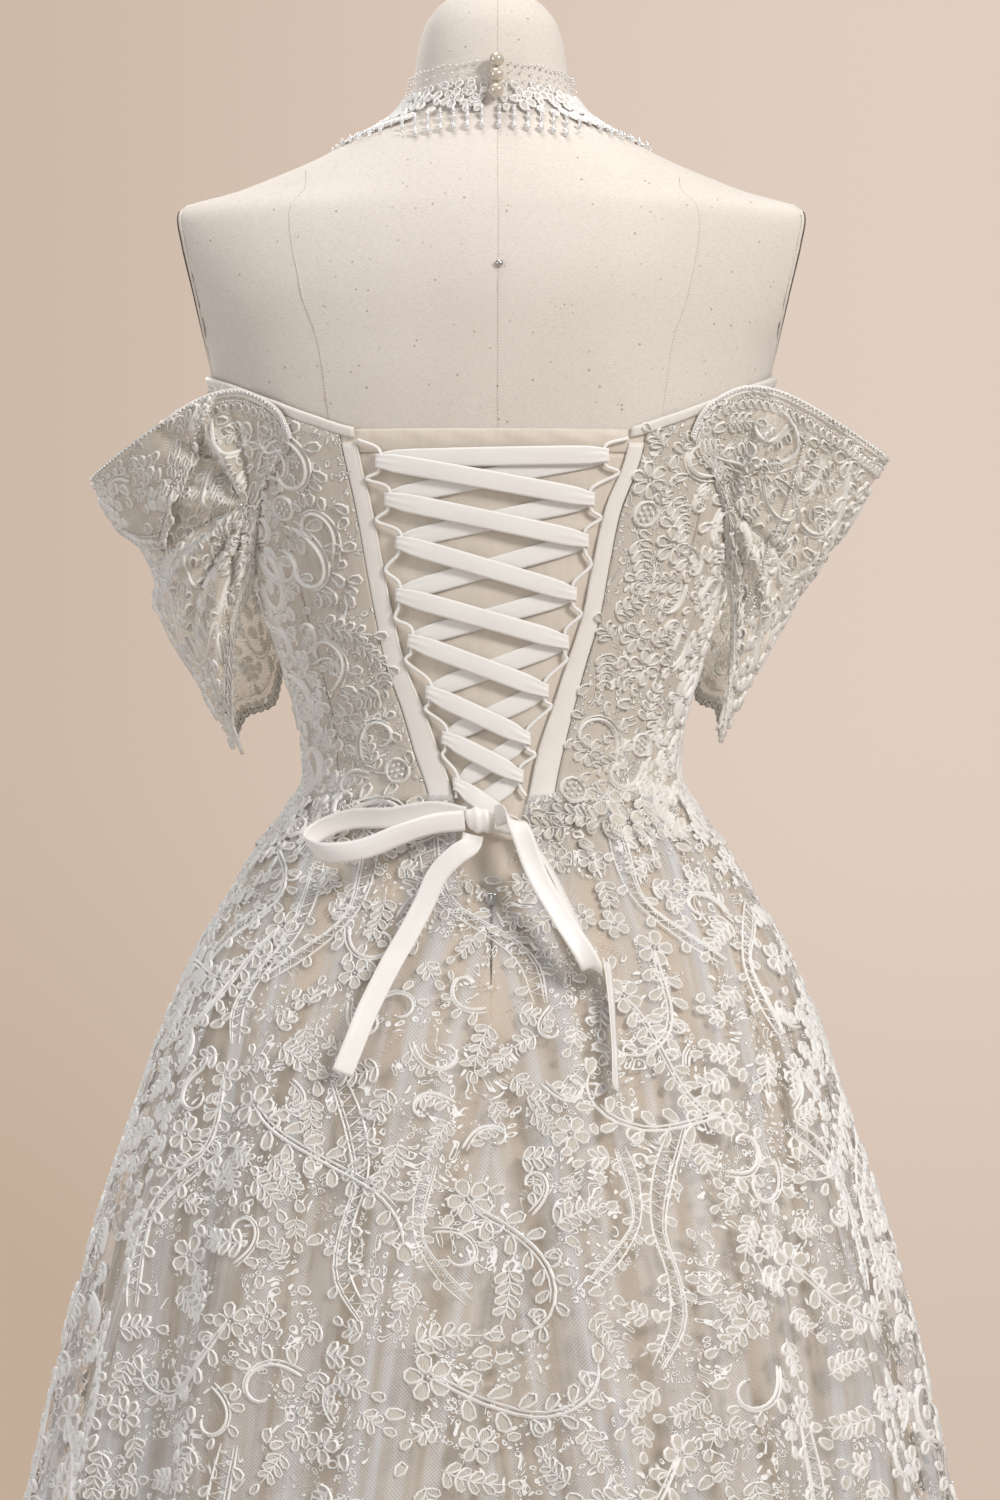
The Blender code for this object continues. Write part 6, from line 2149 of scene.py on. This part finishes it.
@dataclass
class Sleeve:
    """A draped off-shoulder sleeve of beaded lace net.

    Keep is each line's share of its lift. A feather is a hanging point: station, lean and
    scale. The flap, if any, is its middle's station, half its length and its depth.
    """

    side: Side
    keep: Tuple[float, ...]
    tip_rise: float
    creases: Tuple
    seed: int
    feathers: Tuple[Tuple[float, float, float], ...]
    folded: Tuple[float, ...] = ()
    bead_lines: Tuple[float, ...] = ()
    seam: float = 3.5
    lace_triangles: int = 34_000

    def build(self) -> None:
        """Makes the net, its lace and its beaded rim."""
        drape = creased(self.cloth(), self.creases)
        carrier = extended(drape, 34.0, 5.0)
        lace = LaceField(carrier, self.seed, (0.08, 0.03), False)
        rim, m = float(drape.vs[-1]), Motifs
        feather = m.feather(30.0, 8.5)
        for u, turn, size in self.feathers:
            lace.put(feather, u, 0.25, math.pi + turn, size)
        lace.edge(m.leaf(8.6, 6.8, 7, 0.8), 0.12, 6.0, math.pi, 1.0)
        lace.edge(m.leaf(6.0, 4.8, 7, 0.7), rim - 0.15, 5.2, math.pi, 0.9)
        bar = Motif([Stroke(np.array([[-2.9, 0.0], [2.9, 0.0]]), False, 1.0, 1.4)],
                    [(0.0, 2.2, 0.9)])
        lace.edge(bar, 0.25, 5.8, 0.0, 1.0)
        lace.block(lambda u, v: (v < 0.1) & (u > -9.0))
        lace.sow((
            Sowing([m.vine(70.0, 1.6, -3.0, 9.0), m.scroll(48.0, 6.0, 1.2, 4)], 160, 0.10, 0.6),
            Sowing([m.flower(6, 8.6, 6), m.flower(5, 9.4, 5)], 160, 0.05, 3.1),
            Sowing([m.scroll(36.0, 5.4, 1.0, 3)], 700, 0.08, 1.5),
            Sowing([m.spray(4, 8.2, 5.0), m.spray(3, 7.8, -4.0)], 1800, 0.08, 1.2),
            Sowing([m.spray(2, 7.0, 2.0), m.leaf(8.0, 4.8)], 2600, 0.10, 2.0),
            Sowing([m.leaf(6.0, 3.8, 6), m.dots(8.0, 2.0, 2.4, 0.65)], 2500, 0.14, 3.1),
        ), self.lace_triangles, lambda u, v: math.pi - (u - 10.0) * 0.12)
        name = "sleeve_" + self.side.word
        cord, beads = lace.cords(0.2, 1.6)
        at = np.linspace(0.0, 1.0, 60)
        for shift in self.bead_lines:
            add_beads(beads, *carrier.raised(shift - 1.1 * at, 6.5 - 5.6 * at, 0.6), 0.95)
        sewn = show_lace(name, (cord, beads), "cord_sleeve")
        show_cloth("net_" + name, drape, "net",
                   name,
                   sewn=[*sewn, self.trim(carrier, rim)])
        if self.folded:
            self.flap(drape)

    def flap(self, drape: Drape) -> None:
        """The cloth above the rim, folded down outside to a scalloped beaded point."""
        (middle, half, deep), m = self.folded, Motifs
        us, shares = np.linspace(middle - half, middle + half, 61), np.linspace(1.0, 0.0, 25)
        share = shares[:, None]
        v = drape.vs[-1] + 0.12 - deep * (1 - np.abs(us - middle) / half) ** 0.8 * share
        stand = 1.2 + 4.2 * np.sin(share * 1.7) + 0.9 * np.sin(us * 2.6) * share
        points, _ = extended(drape, 4.0, 6.0).raised(us, v, stand)
        cloth = Drape(points, us, 1.0 - shares, self.side.value)
        carrier = extended(cloth, 7.0, 0.0)
        lace = LaceField(carrier, self.seed + 9, (0.06, 0.02), False)
        lace.edge(m.leaf(6.6, 5.4, 7, 0.8), 0.03, 5.0, math.pi, 1.0)
        lace.block(lambda u, v: (v < 0.02) & (u > -9.0))
        lace.sow((
            Sowing([m.scroll(30.0, 5.4, 1.1, 3), m.flower(5, 7.0, 5)], 240, 0.08, 2.0),
            Sowing([m.spray(2, 7.0, 2.0), m.leaf(7.0, 4.4)], 900, 0.12, 3.1),
        ), 9000, lambda u, v: 0.0)
        cord, beads = lace.cords(0.2, 1.5)
        at = np.linspace(us[0] + 0.4, us[-1] - 0.4, 60)
        add_beads(beads, *carrier.raised(at, 0.1, 0.4), 0.9)
        name = "sleeve_flap_" + self.side.word
        sewn = show_lace(name, (cord, beads), "cord_sleeve")
        show_cloth("net_" + name, cloth, "net",
                   sewn=sewn)

    def cloth(self) -> Drape:
        """The sleeve's surface from hem to rim, each row from back to front."""
        rows = []
        for (rise, *table), keep in zip(SLEEVE_LINES, self.keep):
            angles, heights, lifts = np.array(table, float)
            heights = heights + self.tip_rise * rise * lifts / lifts.max()
            lift = lifts.min() + (lifts - lifts.min()) * keep
            rows.append(rounded(DRESS.lifted(self.side.value * angles, heights, lift), 21))
        fine = rounded(rounded(rounded(rows, 8), 57).transpose(1, 0, 2), 141)
        sewn_in = [unit(fine[a] - fine[b]) * self.seam + fine[a] for a, b in ((0, 1), (-1, -2))]
        fine = np.concatenate([sewn_in[:1], fine, sewn_in[1:]]).transpose(1, 0, 2)
        us = np.concatenate([[-0.4], np.linspace(0, 20, 141), [20.4]])
        return Drape(fine, us, np.linspace(0, 7, 57), self.side.value)

    def trim(self, carrier: Drape, row: float) -> Piece:
        """The beaded strip along the rim: two cords with beads between them."""
        build, beads = Build(), Build()
        for v in (row + 0.03, float(carrier.vs[-1]) - 0.05):
            points, normals = carrier.raised(np.linspace(0.0, 20.0, 260), v, 0.2)
            add_line(build, points, normals, 1.0, 1.4)
            add_line(build, points, -normals, 1.0, 0.8)
        for v, radius, count in ((row + 0.13, 1.15, 110), (row - 0.1, 0.75, 150)):
            add_beads(beads, *carrier.raised(np.linspace(0.1, 19.9, count), v, 0.5), radius, 7)
        name = "sleeve_trim_" + self.side.word
        show("beads_" + name, beads, "bead")
        return show("cord_" + name, build, "cord_sleeve", [name])


# -------------------------------------------------------------------------- the collar
@dataclass
class Collar:
    """A high net collar with lace along its foot, bead drops and three pearl buttons."""

    lift: float = 1.8
    pearl_radius: float = 4.7
    pearl_heights: Tuple[float, ...] = (1494.6, 1484.7, 1473.8)
    pearl_x: float = -3.0
    lace_triangles: int = 19_000
    angles: Tuple[float, ...] = (0, 35, 70, 90, 120, 180)
    tops: Tuple[float, ...] = (1495.5, 1493, 1490, 1489, 1487, 1484)
    feet: Tuple[float, ...] = (1467.5, 1463.5, 1454, 1449, 1450, 1447)
    fringe: Tuple[float, ...] = (17, 15.5, 10, 6, 8, 12)
    # The beads of a long and of a short drop: radius, depth and stretch.
    long_drop: Tuple = ((1.1, 1, 1), (1.45, 2.9, 1.2), (1.3, 7.2, 2.3), (1.1, 11, 0.9),
                        (1.8, 14, 1.45))
    short_drop: Tuple = ((0.9, 0.9, 1), (0.9, 2.8, 1), (0.9, 4.6, 1))

    def read(self, table: Tuple[float, ...], angle: Array) -> Array:
        """A value of the collar by angle, the same on both sides."""
        return through(self.angles, table, np.abs(round_gap(angle)))

    def build(self) -> None:
        """Makes the collar."""
        us, vs, m = np.linspace(1.0, 359.0, 241), np.linspace(0.0, 1.0, 19), Motifs
        foot, top = self.read(self.feet, us), self.read(self.tops, us)
        drape = Drape(FORM.lifted(us, foot + (top - foot) * vs[:, None], self.lift), us, vs)
        carrier = extended(drape, 4.0, 1.0)
        lace = LaceField(carrier, 5, (0.8, 0.02), False)
        loop = m.leaf(5.6, 4.6, 7, 0.8)
        for k in range(121):
            lace.put(loop, 360.0 * k / 120, 0.05, math.pi, 0.9)
        lace.block(lambda u, v: (v > 0.64) & (u > -9.0))
        lace.sow((
            Sowing([m.flower(5, 5.6, 4)], 300, 0.05, 3.1),
            Sowing([m.spray(3, 6.0, 2.0), m.scroll(22.0, 5.0, 0.8, 2)], 900, 0.08, 1.2),
            Sowing([m.leaf(6.0, 3.8, 6), m.leaf(4.6, 3.2, 6)], 3500, 0.2, 2.4),
        ), self.lace_triangles, lambda u, v: 0.3 * math.sin(u / 9.0))
        cord, beads = lace.cords(0.3)
        for v, gap, radius in ((0.97, 5.0, 0.95), (0.79, 7.5, 0.8), (0.62, 5.6, 0.8)):
            at = np.arange(3.0, 357.5, gap)
            add_beads(beads, *carrier.raised(at, v + 0.02 * np.sin(at), 0.3), radius, 7)
        sewn = show_lace("collar", (cord, beads), "cord")
        show_cloth("net_collar", drape, "net_collar",
                   "collar_lace", sewn=sewn)
        self.drops()
        self.pearls()

    def drops(self) -> None:
        """Crystal drops from the lace's edge; those on the back hang straight down."""
        build, random = Build(), np.random.default_rng(3)
        turn = np.linspace(0.0, np.pi, 6)
        spots = (np.arange(4.0, 50.0, 7.6), np.arange(53.0, 308.0, 4.9),
                 np.arange(311.0, 357.0, 7.6))
        for angle in np.concatenate(spots):
            reach = float(self.read(self.fringe, angle)) * (0.86 + 0.2 * random.random())
            foot = float(self.read(self.feet, angle)) + 0.6
            hung = float(FORM.lifted(angle, foot, self.lift)[0])
            for radius, below, stretch in self.long_drop if reach > 8.0 else self.short_drop:
                if below >= reach + 0.5:
                    continue
                height, turned = foot - below, angle
                if abs(round_gap(angle)) < 50.0:
                    turned = FORM.angle_of(hung, height)
                centre = FORM.lifted(turned, height, self.lift + radius * 0.35)
                profile = cols(radius * np.sin(turn), stretch * radius * np.cos(turn))
                add_lathe(build, profile, centre, (0.0, 0.0, 1.0), 7)
        show("collar_bead_drops", build, "crystal", ["collar_bead_fringe"])

    def pearls(self) -> None:
        """Three pearl buttons, each on a small shank."""
        turn = np.linspace(0.0, np.pi * 0.9, 18)
        ball = cols(np.sin(turn), 1.15 + np.cos(turn)) * self.pearl_radius
        profile = np.concatenate([ball, [[1.1, 0.4], [1.1, 0.0]]])
        for number, height in enumerate(self.pearl_heights, 1):
            angle = FORM.angle_of(self.pearl_x, height)
            build = Build()
            add_lathe(build, profile, FORM.lifted(angle, height, self.lift + 0.6),
                      FORM.normal(angle, height), 32)
            show("pearl_%d" % number, build, "pearl", ["pearl_button_%d" % number])


# -------------------------------------------------------------------------------- the set
def main() -> None:
    """Builds the whole look."""
    logging.basicConfig(level=logging.INFO, format="%(message)s")
    Studio().build()
    DressForm().build()
    skirt = Skirt()
    skirt.build(Bodice().build(skirt))
    ModestyPanel().build()
    Lacing().build()
    Bow().build()
    Sleeve(
        Side.LEFT, (0.86, 0.97, 1.0, 1.0), 0.0, LEFT_CREASES, 11,
        ((9.6, 0.1, 1.0), (8.7, -0.25, 0.62), (7.8, 0.2, 0.5), (7.0, 0.0, 0.42), (6.2, 0.1, 0.4)),
        folded=(9.3, 4.4, 2.5),
    ).build()
    Sleeve(
        Side.RIGHT, (0.48, 0.66, 0.97, 0.95), 12.0, RIGHT_CREASES, 12,
        ((9.4, -0.15, 1.0), (8.5, 0.2, 0.8), (7.6, 0.1, 0.72), (6.8, 0.0, 0.7), (6.0, 0.1, 0.66),
         (5.2, -0.1, 0.6), (4.4, 0.0, 0.5)),
        bead_lines=(7.1, 7.8),
    ).build()
    Collar().build()


if __name__ == "__main__":
    main()
